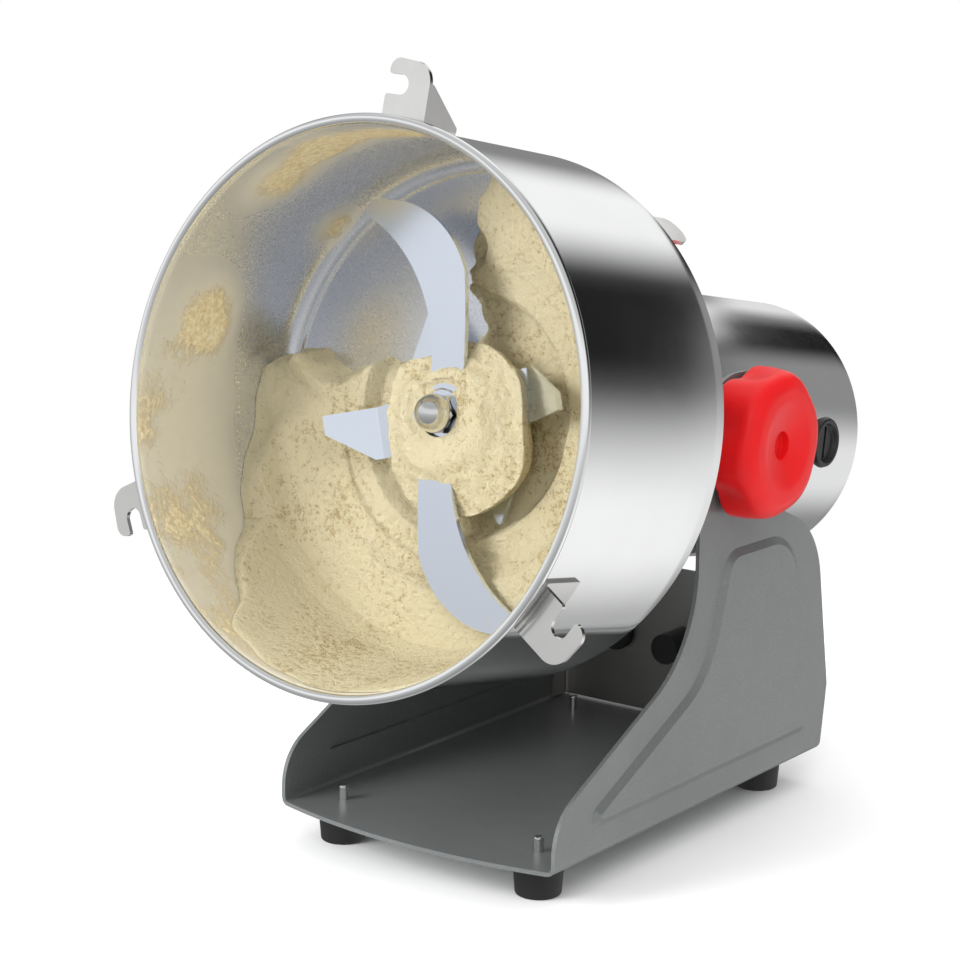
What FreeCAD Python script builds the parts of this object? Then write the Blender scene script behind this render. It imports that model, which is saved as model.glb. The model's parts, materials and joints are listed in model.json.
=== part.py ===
import FreeCAD, Part
import Sketcher
import math
import os

from FreeCAD import Placement, Rotation, Vector

doc = FreeCAD.newDocument("GrainMill")
sheet = doc.addObject("Spreadsheet::Sheet", "Dims")

# Driving dimensions in millimetres and degrees. X is the pivot axis, the mouth faces -Y, the feet
# stand on Z = 0. The head (bowl and motor) is drawn with its own Z along the bowl's axis, from the pivot.
driving = {
    # base
    "cheek_clearance": 11.2, "sheet_thick": 2, "base_front": -144, "floor_bulge": 10.5, "base_rear": 92.5,
    "foot_height": 17.5, "foot_radius": 12, "foot_taper": 1.5, "foot_inset_side": 22, "foot_inset_front": 19,
    "foot_inset_rear": 25, "foot_screw_radius": 2.3, "foot_stud_height": 7, "bend_radius": 4,
    "nose_height": 42, "nose_round": 25, "neck_front": -30.5, "neck_height": 97.5, "neck_round": 60,
    "ear_radius": 32, "shoulder_y": 36, "shoulder_z": 154.3, "shoulder_round": 14, "crown_y": 82,
    "crown_z": 136, "crown_round": 45, "kink_y": 98, "kink_z": 51.5, "kink_round": 5,
    "emboss_height": 2.2, "emboss_bevel": 4.5, "emboss_foot": 31, "emboss_wall": 5.2,
    # rear panel and its controls
    "panel_y": 86.4, "panel_thick": 1.5, "panel_top": 101, "panel_gap": 0.3, "panel_lift": 1.2,
    "panel_flange": 12,
    "control_z": 62, "rocker_x": 40, "breaker_x": 0, "gland_x": -42,
    "rocker_width": 13, "rocker_tall": 19, "rocker_bezel": 2, "rocker_depth": 16, "button_round": 0.8,
    "breaker_radius": 8, "breaker_depth": 20, "button_radius": 4.5, "button_travel": 2.5,
    "gland_bore": 4, "gland_neck": 8, "bezel_lap": 2.5,
    # pivot and tilt
    "pivot_height": 191.7, "rest_tilt": 9, "pin_radius": 7, "stud_radius": 5, "running_fit": 0.05,
    "boss_radius": 22, "boss_setback": 1.6, "bush_radius": 10, "bush_flange": 15, "side_gap": 0.3,
    "washer_radius": 17, "washer_thick": 1.5, "stud_length": 13, "seat_gap": 0.05,
    # bowl
    "bowl_radius": 121.5, "bowl_wall": 1.3, "bowl_back": 85.7, "bowl_mouth": 197.3, "bead_radius": 2.2,
    "bead_stand": 3.5, "floor_level": 98.6, "floor_round": 8, "step_inset": 9.5, "step_depth": 1.5,
    "bowl_bore": 17, "seal_wall": 5.9, "seal_depth": 7,
    # lid hooks
    "hook_first": 86, "hook_plate": 2, "hook_left": -10.5, "hook_right": 12.5, "hook_reach": 28.5,
    "slot_stand": 12.5, "slot_width": 8.5, "slot_end": 1.3, "hook_setback": 9.3, "gusset_length": 21,
    "gusset_reach": 18.5, "hook_foot": 1.6, "tab_angle": 50, "tab_width": 15, "tab_reach": 19, "tab_thick": 2,
    # motor housing
    "shell_radius": 67.8, "shell_wall": 1.6, "shell_rear": -143.6, "shell_front": 84, "cover_depth": 2.6,
    "cover_thick": 3, "vent_inner": 26, "vent_outer": 52, "vent_width": 5, "vent_count": 16,
    "bell_radius": 84, "bell_flange": 5, "bell_register": 9, "bell_web": 7, "rear_bell_z": -127,
    "rear_bell_thick": 13, "shaft_radius": 6, "bearing_radius": 16, "bearing_width": 10,
    # rotor and brush gear
    "armature_radius": 32, "armature_length": 86, "armature_low": -58, "air_gap": 0.6, "slot_count": 12,
    "pole_width": 50, "yoke_wall": 12, "coil_half": 18, "coil_round": 6, "coil_mouth": 20,
    "coil_overhang": 9, "commutator_radius": 19, "commutator_length": 24, "brush_z": -96, "brush_width": 8,
    "brush_height": 12, "brush_length": 22, "holder_radius": 11, "cap_radius": 13, "cap_flange": 10,
    "cap_thick": 8.2, "driver_slot": 3.6,
    "fan_radius": 56, "fan_level": 46, "fan_height": 16, "fan_blades": 9,
    # blades
    "hub_radius": 15, "hub_base": 100.6, "hub_height": 6, "low_spacer": 6, "mid_spacer": 6.5,
    "blade_thick": 2.6, "nut_radius": 8.8, "nut_hex": 8.4, "nut_height": 4.5, "sickle_tip": 104,
    "sickle_root": 10, "bar_width": 24, "bar_reach": 66, "wing_length": 22, "wing_rise": 14,
    "low_width": 26, "low_reach": 53, "low_cut": 16, "mid_turn": 18, "low_turn": -50,
    # lock knob
    "knob_gap": 0.85, "knob_length": 25, "knob_radius": 36, "knob_face_radius": 33, "knob_round": 8.2,
    "lobe_count": 6, "lobe_cut_radius": 17, "lobe_cut_place": 47, "lobe_length": 15, "dish_radius": 20,
    "dish_depth": 3.4, "knob_hole": 6.2, "knob_hole_depth": 7, "insert_radius": 9, "insert_length": 14,
    "lobe_turn": 10,
}
for row, (alias, value) in enumerate(driving.items(), start=1):
    sheet.set("A%d" % row, alias)
    sheet.set("B%d" % row, str(value))
    sheet.setAlias("B%d" % row, alias)
doc.recompute()


def dim(alias):
    return float(sheet.get(alias))


parts = []
full_turn = 360.0


def new_body(label):
    body = doc.addObject("PartDesign::Body", label)
    body.Label = label
    parts.append(body)
    return body


def sketch_on(body, role, name, offset=0.0):
    """A sketch on an origin plane of its own body, moved along the plane's normal."""
    sketch = body.newObject("Sketcher::SketchObject", body.Label + "_" + name)
    plane = [feature for feature in body.Origin.OriginFeatures if feature.Role == role][0]
    sketch.AttachmentSupport = [(plane, "")]
    sketch.MapMode = "FlatFace"
    sketch.AttachmentOffset = Placement(Vector(0, 0, offset), Rotation())
    return sketch


def rounded(corners, inset=0.0):
    """Lines and arcs through corners (x, y, radius), counter-clockwise, moved inwards by inset."""
    count = len(corners)
    points = [Vector(c[0], c[1], 0) for c in corners]
    moved = []
    for i in range(count):
        before = (points[i] - points[i - 1]).normalize()
        after = (points[(i + 1) % count] - points[i]).normalize()
        left_before, left_after = Vector(-before.y, before.x, 0), Vector(-after.y, after.x, 0)
        turn = before.cross(after).z
        share = inset / (1 + left_before.dot(left_after))
        radius = corners[i][2]
        if radius > 0:
            radius = max(radius - inset if turn > 0 else radius + inset, 0.3)
        moved.append((points[i] + (left_before + left_after) * share, radius))
    geometry, ends = [], []
    for i in range(count):
        here, radius = moved[i]
        before = (here - moved[i - 1][0]).normalize()
        after = (moved[(i + 1) % count][0] - here).normalize()
        half_turn = before.getAngle(after) / 2
        if radius <= 0 or half_turn < 1e-4:
            ends.append((here, here))
            continue
        reach = radius * math.tan(half_turn)
        start, stop = here - before * reach, here + after * reach
        inward = (after - before).normalize()
        middle = here + inward * (radius / math.cos(half_turn) - radius)
        geometry.append(Part.Arc(start, middle, stop))
        ends.append((start, stop))
    for i in range(count):
        start, stop = ends[i - 1][1], ends[i][0]
        if (stop - start).Length > 1e-6:
            geometry.append(Part.LineSegment(start, stop))
    return geometry


def outline(body, role, name, corners, inset=0.0, offset=0.0):
    sketch = sketch_on(body, role, name, offset)
    sketch.addGeometry(rounded(corners, inset), False)
    return sketch


def circle(body, role, name, radius, x=0.0, y=0.0, offset=0.0):
    """A circle whose radius follows the sheet."""
    sketch = sketch_on(body, role, name, offset)
    index = sketch.addGeometry(Part.Circle(Vector(x, y, 0), Vector(0, 0, 1), 1.0), False)
    number = sketch.addConstraint(Sketcher.Constraint("Radius", index, 1.0))
    sketch.setExpression("Constraints[%d]" % number, radius)
    return sketch


def rectangle(x_low, x_high, y_low, y_high, radius=0.0):
    return [(x_low, y_low, radius), (x_high, y_low, radius), (x_high, y_high, radius),
            (x_low, y_high, radius)]


def pad(body, sketch, length, symmetric=False, reverse=False):
    feature = body.newObject("PartDesign::Pad", sketch.Name + "_pad")
    feature.Profile = sketch
    feature.setExpression("Length", length)
    feature.Midplane = symmetric
    feature.Reversed = reverse
    sketch.Visibility = False
    return feature


def pocket(body, sketch, length=None, symmetric=False, reverse=False):
    """A pocket of a set length, or through all; it must take material away."""
    doc.recompute()
    before = body.Tip.Shape.Volume
    feature = body.newObject("PartDesign::Pocket", sketch.Name + "_cut")
    feature.Profile = sketch
    if length is None:
        feature.Type = "ThroughAll"
    else:
        feature.setExpression("Length", length)
    feature.Midplane = symmetric
    feature.Reversed = reverse
    doc.recompute()
    if not feature.Shape.Volume < before - 1e-6:
        raise ValueError("nothing cut by " + feature.Name)
    return feature


def revolve(body, sketch, axis="V_Axis", angle=full_turn, symmetric=False):
    feature = body.newObject("PartDesign::Revolution", sketch.Name + "_turn")
    feature.Profile = sketch
    feature.ReferenceAxis = (sketch, [axis])
    feature.Angle = angle
    feature.Midplane = symmetric
    return feature


def around(body, feature, axis_role, count):
    pattern = body.newObject("PartDesign::PolarPattern", feature.Name + "_ring")
    pattern.Originals = [feature]
    axis = [item for item in body.Origin.OriginFeatures if item.Role == axis_role][0]
    pattern.Axis = (axis, [""])
    pattern.Angle = full_turn
    pattern.setExpression("Occurrences", count)
    body.Tip = pattern
    return pattern


def soften(body, edges, size, kind="PartDesign::Fillet"):
    """Rounds or bevels the edges that the test picks from the present solid."""
    doc.recompute()
    base = body.Tip
    names = ["Edge%d" % (i + 1) for i, edge in enumerate(base.Shape.Edges) if edges(edge)]
    feature = body.newObject(kind, base.Name + "_soft")
    feature.Base = (base, names)
    if kind == "PartDesign::Fillet":
        feature.setExpression("Radius", size)
    else:
        feature.setExpression("Size", size)
    return feature


def place_head(body, turn=0.0):
    """Sets a piece of the head at the pivot, tilted as it rests, turned about the bowl's axis."""
    tilt = Rotation(Vector(1, 0, 0), 90 - dim("rest_tilt"))
    body.Placement = Placement(Vector(0, 0, dim("pivot_height")),
                               tilt.multiply(Rotation(Vector(0, 0, 1), turn)))
    body.setExpression("Placement.Base.z", "Dims.pivot_height")


def ring(label, corners, role="XZ_Plane", axis="V_Axis"):
    """A turned piece: (radius, height) corners about the axis."""
    body = new_body(label)
    revolve(body, outline(body, role, "profile", corners), axis)
    return body


half_width = dim("shell_radius") + dim("cheek_clearance")
sheet_thick = dim("sheet_thick")
foot_height = dim("foot_height")
floor_top = foot_height + sheet_thick
inner_wall = half_width - sheet_thick
pivot_height = dim("pivot_height")
seat_gap = dim("seat_gap")
fit = dim("running_fit")

# ---- Base frame: one folded sheet, a floor with a bowed front edge and two shaped cheeks.
base_front, base_rear = dim("base_front"), dim("base_rear")
bend = dim("bend_radius")
ear = dim("ear_radius")
cheek_top = pivot_height + ear
frame = new_body("base_frame")
u_outline = [
    (-half_width, foot_height, bend), (half_width, foot_height, bend), (half_width, cheek_top + 1, 0),
    (inner_wall, cheek_top + 1, 0), (inner_wall, floor_top, bend - sheet_thick),
    (-inner_wall, floor_top, bend - sheet_thick), (-inner_wall, cheek_top + 1, 0),
    (-half_width, cheek_top + 1, 0)]
pad(frame, outline(frame, "XZ_Plane", "channel", u_outline, offset=-dim("kink_y")),
            "Dims.kink_y - Dims.base_front + Dims.floor_bulge")
cheek = [
    (base_front, floor_top + 0.01, 0), (base_front, dim("nose_height"), dim("nose_round")),
    (dim("neck_front"), dim("neck_height"), dim("neck_round")),
    (-ear, cheek_top, ear * 0.94), (ear, cheek_top, ear * 0.94),
    (dim("shoulder_y"), dim("shoulder_z"), dim("shoulder_round")),
    (dim("crown_y"), dim("crown_z"), dim("crown_round")), (dim("kink_y"), dim("kink_z"), dim("kink_round")),
    (base_rear, foot_height - 1, 0)]
cheek.reverse()
far = 20
waste = [(base_front - 2 * far, floor_top + 0.01, 0)] + [
    (base_front - 2 * far, cheek_top + far, 0), (dim("kink_y") + far, cheek_top + far, 0),
    (dim("kink_y") + far, foot_height - 1, 0)] + cheek
waste.reverse()
pocket(frame, outline(frame, "YZ_Plane", "side_waste", waste), symmetric=True)
edge_y = base_front - dim("floor_bulge")
bow = sketch_on(frame, "XY_Plane", "front_bow")
bow_out = base_front - 3 * far
bow.addGeometry([
    Part.Arc(Vector(-half_width, base_front, 0), Vector(0, edge_y, 0), Vector(half_width, base_front, 0)),
    Part.LineSegment(Vector(half_width, base_front, 0), Vector(half_width + far, base_front, 0)),
    Part.LineSegment(Vector(half_width + far, base_front, 0), Vector(half_width + far, bow_out, 0)),
    Part.LineSegment(Vector(half_width + far, bow_out, 0), Vector(-half_width - far, bow_out, 0)),
    Part.LineSegment(Vector(-half_width - far, bow_out, 0), Vector(-half_width - far, base_front, 0)),
    Part.LineSegment(Vector(-half_width - far, base_front, 0), Vector(-half_width, base_front, 0))], False)
pocket(frame, bow, symmetric=True)
foot_x = half_width - dim("foot_inset_side")
foot_front = base_front + dim("foot_inset_front")
foot_rear = base_rear - dim("foot_inset_rear")
foot_places = {"front_left": (-foot_x, foot_front), "front_right": (foot_x, foot_front),
               "rear_left": (-foot_x, foot_rear), "rear_right": (foot_x, foot_rear)}
screw_hole = dim("foot_screw_radius") + seat_gap
holes = sketch_on(frame, "XY_Plane", "foot_holes")
for x, y in foot_places.values():
    holes.addGeometry(Part.Circle(Vector(x, y, 0), Vector(0, 0, 1), screw_hole), False)
pocket(frame, holes, symmetric=True)
pivot_hole = sketch_on(frame, "YZ_Plane", "pivot_hole")
pivot_hole.addGeometry(
    Part.Circle(Vector(0, pivot_height, 0), Vector(0, 0, 1), dim("bush_radius") + seat_gap), False)
pocket(frame, pivot_hole, symmetric=True)
# the pressed panel of each cheek follows the cheek's own edges, raised outwards by its own height
emboss_foot = dim("emboss_foot")
emboss = [
    (base_front + 28, emboss_foot, 4), (base_rear - 16.5, emboss_foot, 4),
    (dim("kink_y") - 20, dim("kink_z"), 5),
    (dim("crown_y") - 23, dim("crown_z") + 3.5, 30), (dim("neck_front") + 24, dim("crown_z") + 4, 14),
    (dim("neck_front") + 6, dim("neck_height") - 13.8, dim("neck_round") - 14),
    (base_front + 28, dim("nose_height") - 1.4, 4)]
for side, sign in (("right", 1), ("left", -1)):
    low = outline(frame, "YZ_Plane", side + "_panel_foot", emboss, offset=sign * (half_width - 0.5))
    raised = outline(frame, "YZ_Plane", side + "_panel_top", emboss, inset=dim("emboss_bevel"),
                     offset=sign * (half_width + dim("emboss_height")))
    panel = frame.newObject("PartDesign::AdditiveLoft", side + "_panel")
    panel.Profile = low
    panel.Sections = [raised]
    panel.Ruled = True
    doc.recompute()
    hollow = outline(frame, "YZ_Plane", side + "_hollow", emboss, inset=dim("emboss_wall"),
                     offset=sign * inner_wall)
    pocket(frame, hollow, "Dims.emboss_height", reverse=sign > 0)

# ---- Feet: tapered rubber, each held by a screw whose end stands above the floor.
for place, (x, y) in foot_places.items():
    foot = ring("foot_" + place, [
        (screw_hole, 0, 0), (dim("foot_radius") - dim("foot_taper"), 0, 1.2),
        (dim("foot_radius"), foot_height, 1),
        (screw_hole, foot_height, 0)])
    foot.Placement = Placement(Vector(x, y, 0), Rotation())
    stud = ring("foot_screw_" + place, [
        (0, floor_top, 0), (dim("foot_screw_radius"), floor_top, 0),
        (dim("foot_screw_radius"), floor_top + dim("foot_stud_height"), 0.8),
        (0, floor_top + dim("foot_stud_height"), 0)])
    shank = circle(stud, "XY_Plane", "shank", "Dims.foot_screw_radius", offset=foot_height / 2)
    pad(stud, shank, "Dims.sheet_thick + Dims.foot_height / 2 + 0.2")
    stud.Placement = Placement(Vector(x, y, 0), Rotation())

# ---- Rear panel: a sheet closing the base behind the motor, flanged forwards along both cheeks.
panel_y, panel_thick, panel_top = dim("panel_y"), dim("panel_thick"), dim("panel_top")
panel_half = inner_wall - dim("panel_gap")
panel_low = floor_top + dim("panel_lift")
flange_y = panel_y - dim("panel_flange")
rear_panel = new_body("rear_panel")
pad(rear_panel, outline(rear_panel, "XY_Plane", "fold", [
    (-panel_half, flange_y, 0), (-panel_half + panel_thick, flange_y, 0),
    (-panel_half + panel_thick, panel_y, 1), (panel_half - panel_thick, panel_y, 1),
    (panel_half - panel_thick, flange_y, 0), (panel_half, flange_y, 0),
    (panel_half, panel_y + panel_thick, 1 + panel_thick), (-panel_half, panel_y + panel_thick,
                                                           1 + panel_thick)],
    offset=panel_low), "Dims.panel_top - Dims.foot_height - Dims.sheet_thick - Dims.panel_lift")
control_z = dim("control_z")
rocker_half = dim("rocker_width") / 2 + dim("rocker_bezel")
rocker_tall = dim("rocker_tall") / 2 + dim("rocker_bezel")
openings = sketch_on(rear_panel, "XZ_Plane", "openings", -panel_y)
openings.addGeometry(rounded(rectangle(
    dim("rocker_x") - rocker_half - seat_gap, dim("rocker_x") + rocker_half + seat_gap,
    control_z - rocker_tall - seat_gap, control_z + rocker_tall + seat_gap, 1.5)), False)
for centre, radius in ((dim("breaker_x"), dim("breaker_radius")), (dim("gland_x"), dim("gland_neck"))):
    openings.addGeometry(Part.Circle(Vector(centre, control_z, 0), Vector(0, 0, 1), radius + seat_gap), False)
pocket(rear_panel, openings, "Dims.panel_thick + 2", symmetric=True)

# The controls stand in the panel and face backwards.
panel_face = panel_y + panel_thick
lap = dim("bezel_lap")


def backward_box(body, name, x_low, x_high, z_low, z_high, y_low, length, radius=0.5):
    return pad(body, outline(body, "XZ_Plane", name, rectangle(x_low, x_high, z_low, z_high, radius),
                             offset=-y_low), length, reverse=True)


rocker_x = dim("rocker_x")
switch_housing = new_body("switch_housing")
backward_box(switch_housing, "case", rocker_x - rocker_half, rocker_x + rocker_half, control_z - rocker_tall,
             control_z + rocker_tall, panel_y - dim("rocker_depth"),
             "Dims.rocker_depth + Dims.panel_thick + 1", 1.5)
backward_box(switch_housing, "bezel", rocker_x - rocker_half - lap, rocker_x + rocker_half + lap,
             control_z - rocker_tall - lap, control_z + rocker_tall + lap, panel_face + seat_gap,
             "Dims.rocker_bezel", 1)
bezel_face = panel_face + seat_gap + dim("rocker_bezel")
half_open, tall_open = dim("rocker_width") / 2 + dim("side_gap"), dim("rocker_tall") / 2 + dim("side_gap")
well = outline(switch_housing, "XZ_Plane", "well", rectangle(
    rocker_x - half_open, rocker_x + half_open, control_z - tall_open, control_z + tall_open),
    offset=-bezel_face)
pocket(switch_housing, well, "Dims.rocker_depth", reverse=True)
rocker_axis_y = bezel_face - dim("rocker_bezel") - 2.2
switch_rocker = new_body("switch_rocker")
rock_half = dim("rocker_tall") / 2 - 1
rocker_side = sketch_on(switch_rocker, "YZ_Plane", "side", rocker_x - dim("rocker_width") / 2)
crest = bezel_face + 1.2
hollow_y = bezel_face - 0.2
rocker_side.addGeometry([
    Part.LineSegment(Vector(rocker_axis_y - 2.5, control_z - 3, 0),
                     Vector(hollow_y - 1.4, control_z - rock_half, 0)),
    Part.LineSegment(Vector(hollow_y - 1.4, control_z - rock_half, 0),
                     Vector(crest - 1.2, control_z - rock_half, 0)),
    Part.Arc(Vector(crest - 1.2, control_z - rock_half, 0), Vector(hollow_y + 0.4, control_z, 0),
             Vector(crest + 1.2, control_z + rock_half, 0)),
    Part.LineSegment(Vector(crest + 1.2, control_z + rock_half, 0),
                     Vector(hollow_y + 0.2, control_z + rock_half, 0)),
    Part.LineSegment(Vector(hollow_y + 0.2, control_z + rock_half, 0),
                     Vector(rocker_axis_y - 2.5, control_z + 3, 0)),
    Part.LineSegment(Vector(rocker_axis_y - 2.5, control_z + 3, 0),
                     Vector(rocker_axis_y - 2.5, control_z - 3, 0)),
], False)
pad(switch_rocker, rocker_side, "Dims.rocker_width")

breaker_x = dim("breaker_x")
button_radius = dim("button_radius")
breaker = new_body("breaker_body")
collar = circle(breaker, "XZ_Plane", "barrel", "Dims.breaker_radius", breaker_x, control_z,
                offset=-(panel_y - dim("breaker_depth")))
pad(breaker, collar, "Dims.breaker_depth + Dims.panel_thick + 5", reverse=True)
nut_face = panel_face + seat_gap
nut = sketch_on(breaker, "XZ_Plane", "ring_nut", -nut_face)
nut_corners = [(breaker_x + (dim("breaker_radius") + 3) * math.cos(math.pi / 3 * k),
                control_z + (dim("breaker_radius") + 3) * math.sin(math.pi / 3 * k), 0.6) for k in range(6)]
nut.addGeometry(rounded(nut_corners), False)
pad(breaker, nut, "Dims.rocker_bezel + 1", reverse=True)
breaker_face = panel_y + panel_thick + 5
button_well = circle(breaker, "XZ_Plane", "button_well", "Dims.button_radius + Dims.running_fit",
                     breaker_x, control_z, offset=-breaker_face)
pocket(breaker, button_well, "Dims.button_travel + 8", reverse=True)
reset_button = new_body("reset_button")
button_base = breaker_face - 5
pad(reset_button, circle(reset_button, "XZ_Plane", "stem", "Dims.button_radius", breaker_x, control_z,
                         offset=-button_base), "5 + Dims.button_travel + 1.5", reverse=True)
soften(reset_button, lambda edge: edge.BoundBox.YMin > breaker_face + 2, "Dims.button_round",
       "PartDesign::Fillet")

gland_x, gland_bore, gland_neck = dim("gland_x"), dim("gland_bore"), dim("gland_neck")
gland = ring("cord_gland", [
    (gland_bore, -5, 0), (gland_neck + 2.5, -5, 1), (gland_neck + 2.5, -seat_gap, 0.5),
    (gland_neck, -seat_gap, 0),
    (gland_neck, panel_thick + seat_gap, 0), (gland_neck + 3, panel_thick + seat_gap, 0.5),
    (gland_neck + 2, panel_thick + 4, 1), (gland_bore + 2, panel_thick + 14, 1),
    (gland_bore, panel_thick + 14, 0)])
gland.Placement = Placement(Vector(gland_x, panel_y, control_z), Rotation(Vector(1, 0, 0), -90))

# ---- Pivot: flanged bushes and clamp washers in the cheeks, trunnions on the motor housing.
pin, bush = dim("pin_radius"), dim("bush_radius")
boss_face = inner_wall - dim("boss_setback")
washer_face = half_width + seat_gap
washer_out = washer_face + dim("washer_thick")
shell = dim("shell_radius")
stud_end = boss_face + (washer_out - boss_face) + dim("stud_length")
for side, sign in (("right", 1), ("left", -1)):
    turn_over = Placement(Vector(0, 0, pivot_height), Rotation(Vector(0, 0, 1), 0 if sign > 0 else 180))
    bushing = ring("pivot_bush_" + side, [
        (boss_face + dim("side_gap"), pin + fit, 0), (half_width - 0.2, pin + fit, 0),
        (half_width - 0.2, bush, 0),
        (inner_wall - seat_gap, bush, 0), (inner_wall - seat_gap, dim("bush_flange"), 0.3),
        (boss_face + dim("side_gap"), dim("bush_flange"), 0.3)], axis="H_Axis")
    washer = ring("clamp_washer_" + side, [
        (washer_face, pin + fit, 0), (washer_out, pin + fit, 0), (washer_out, dim("washer_radius"), 0.5),
        (washer_face, dim("washer_radius"), 0.3)], axis="H_Axis")
    trunnion = ring("trunnion_" + side, [
        (shell - 9, 0, 0), (stud_end, 0, 0), (stud_end, dim("stud_radius"), 0.8),
        (washer_out - 0.4, dim("stud_radius"), 0),
        (washer_out - 0.4, pin, 0.4), (boss_face, pin, 0), (boss_face, dim("boss_radius"), 2),
        (shell - 9, dim("boss_radius"), 0)], axis="H_Axis")
    for body in (bushing, washer, trunnion):
        body.Placement = turn_over
    pocket(trunnion, circle(trunnion, "XZ_Plane", "saddle", "Dims.shell_radius + Dims.seat_gap"),
           symmetric=True)
    tilt_turn = Rotation(Vector(1, 0, 0), -dim("rest_tilt"))
    trunnion.Placement = Placement(Vector(0, 0, pivot_height), tilt_turn.multiply(turn_over.Rotation))
left_nut = ring("pivot_cap_nut_left", [
    (washer_out + seat_gap, dim("stud_radius") + seat_gap, 0),
    (stud_end + 1, dim("stud_radius") + seat_gap, 0),
    (stud_end + 1, 0, 0), (stud_end + 4, 0, 0), (stud_end + 4, dim("stud_radius") + 3.2, 6),
    (washer_out + 9, dim("stud_radius") + 4.2, 1), (washer_out + seat_gap, dim("stud_radius") + 4.2, 0.5)],
    axis="H_Axis")
left_nut.Placement = Placement(Vector(0, 0, pivot_height), Rotation(Vector(0, 0, 1), 180))

# ---- Lock knob: a lobed grip with a dished face, turning on the right stud.
knob_back, knob_length = washer_out + dim("knob_gap"), dim("knob_length")
knob_face = knob_back + knob_length
knob_bore = dim("insert_radius")
knob = ring("lock_knob", [
    (knob_back, knob_bore, 0), (knob_back + dim("insert_length"), knob_bore, 0),
    (knob_back + dim("insert_length"), 0, 0), (knob_face - dim("dish_depth"), 0, 0),
    (knob_face - dim("dish_depth"), dim("knob_hole"), 0), (knob_face, dim("dish_radius"), 11),
    (knob_face - 1, dim("knob_face_radius"), dim("knob_round")),
    (knob_back + dim("lobe_length"), dim("knob_face_radius"), 3), (knob_back + 8, dim("knob_radius"), 6),
    (knob_back, dim("knob_radius"), 2)], axis="H_Axis")
grip = circle(knob, "YZ_Plane", "grip", "Dims.lobe_cut_radius", dim("lobe_cut_place"), 0,
              offset=knob_back - 1)
scallop = pocket(knob, grip, "Dims.lobe_length + 1", reverse=True)
around(knob, scallop, "X_Axis", "Dims.lobe_count")
hole = circle(knob, "YZ_Plane", "centre_hole", "Dims.knob_hole", offset=knob_face)
pocket(knob, hole, "Dims.knob_hole_depth")
knob_turn = Rotation(Vector(1, 0, 0), 90 - dim("lobe_turn") + 180 / dim("lobe_count"))
knob.Placement = Placement(Vector(0, 0, pivot_height), knob_turn)
insert_end = knob_back + dim("insert_length") - seat_gap
insert = ring("knob_insert", [
    (knob_back - 0.3, dim("stud_radius") + fit, 0), (insert_end, dim("stud_radius") + fit, 0),
    (insert_end, knob_bore - seat_gap, 0), (knob_back - 0.3, knob_bore - seat_gap, 0.5)],
    axis="H_Axis")
insert.Placement = knob.Placement

# ---- Bowl: a spun wall with a rolled bead, a stepped floor set forward of its back edge.
bowl_radius, bowl_wall = dim("bowl_radius"), dim("bowl_wall")
bowl_in = bowl_radius - bowl_wall
mouth_z, back_z = dim("bowl_mouth"), dim("bowl_back")
floor_in = dim("floor_level")
floor_step = floor_in - dim("step_depth")
step = bowl_radius - dim("step_inset")
bead = dim("bead_radius")
bowl = ring("bowl", [
    (bowl_radius, back_z, 1), (bowl_radius, mouth_z - bead, 0), (bowl_in, mouth_z - bead, 0),
    (bowl_in, floor_in, dim("floor_round")), (step, floor_in, 1), (step - 1, floor_step, 1),
    (dim("bowl_bore"), floor_step, 0), (dim("bowl_bore"), floor_step - bowl_wall, 0),
    (step - 1, floor_step - bowl_wall, 1), (step, floor_in - bowl_wall, 1),
    (bowl_in, floor_in - bowl_wall, 1), (bowl_in, back_z, 0)])
rim = circle(bowl, "XZ_Plane", "bead", "Dims.bead_radius", bowl_radius + dim("bead_stand") - bead,
             mouth_z - bead)
revolve(bowl, rim)
place_head(bowl)

# Lid hooks: a slotted plate across the rim, a gusset behind it and a foot welded to the wall.
hook_z = mouth_z - dim("hook_setback") - dim("hook_plate")
slot_low = bowl_radius + dim("slot_stand")
slot_high = slot_low + dim("slot_width")
slot_round = dim("slot_width") / 2 - 0.1
hook_left, hook_right = dim("hook_left"), dim("hook_right")
hook_top = bowl_radius + dim("hook_reach")
wall_seat = bowl_radius + seat_gap
gusset_top = bowl_radius + dim("gusset_reach")
for number in range(3):
    hook = new_body("lid_hook_%d" % (number + 1))
    foot_pad = outline(hook, "YZ_Plane", "foot", [
        (wall_seat, hook_z - dim("gusset_length"), 0),
        (wall_seat + dim("hook_foot"), hook_z - dim("gusset_length"), 0),
        (wall_seat + dim("hook_foot"), hook_z + dim("hook_plate"), 0),
        (wall_seat, hook_z + dim("hook_plate"), 0)])
    revolve(hook, foot_pad, "V_Axis",
            2 * math.degrees(math.asin((hook_right - 0.3) / wall_seat)), True)
    plate_low = wall_seat + 0.6
    pad(hook, outline(hook, "XY_Plane", "plate", [
        (hook_left, plate_low, 0), (hook_right, plate_low, 0), (hook_right, hook_top - 2, 9),
        (hook_left, hook_top, 5.2),
        (hook_left + 1, slot_high, 1.2), (dim("slot_end"), slot_high, slot_round),
        (dim("slot_end"), slot_low, slot_round), (hook_left, slot_low, 1.5)], offset=hook_z),
        "Dims.hook_plate")
    pad(hook, outline(hook, "YZ_Plane", "gusset", [
        (plate_low, hook_z - dim("gusset_length"), 0), (plate_low + 2, hook_z - dim("gusset_length"), 1),
        (gusset_top, hook_z - 1, 3), (gusset_top, hook_z + 1, 0), (plate_low, hook_z + 1, 0)],
        offset=hook_right - dim("hook_plate")), "Dims.hook_plate")
    place_head(hook, dim("hook_first") - 90 + number * full_turn / 3)

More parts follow.
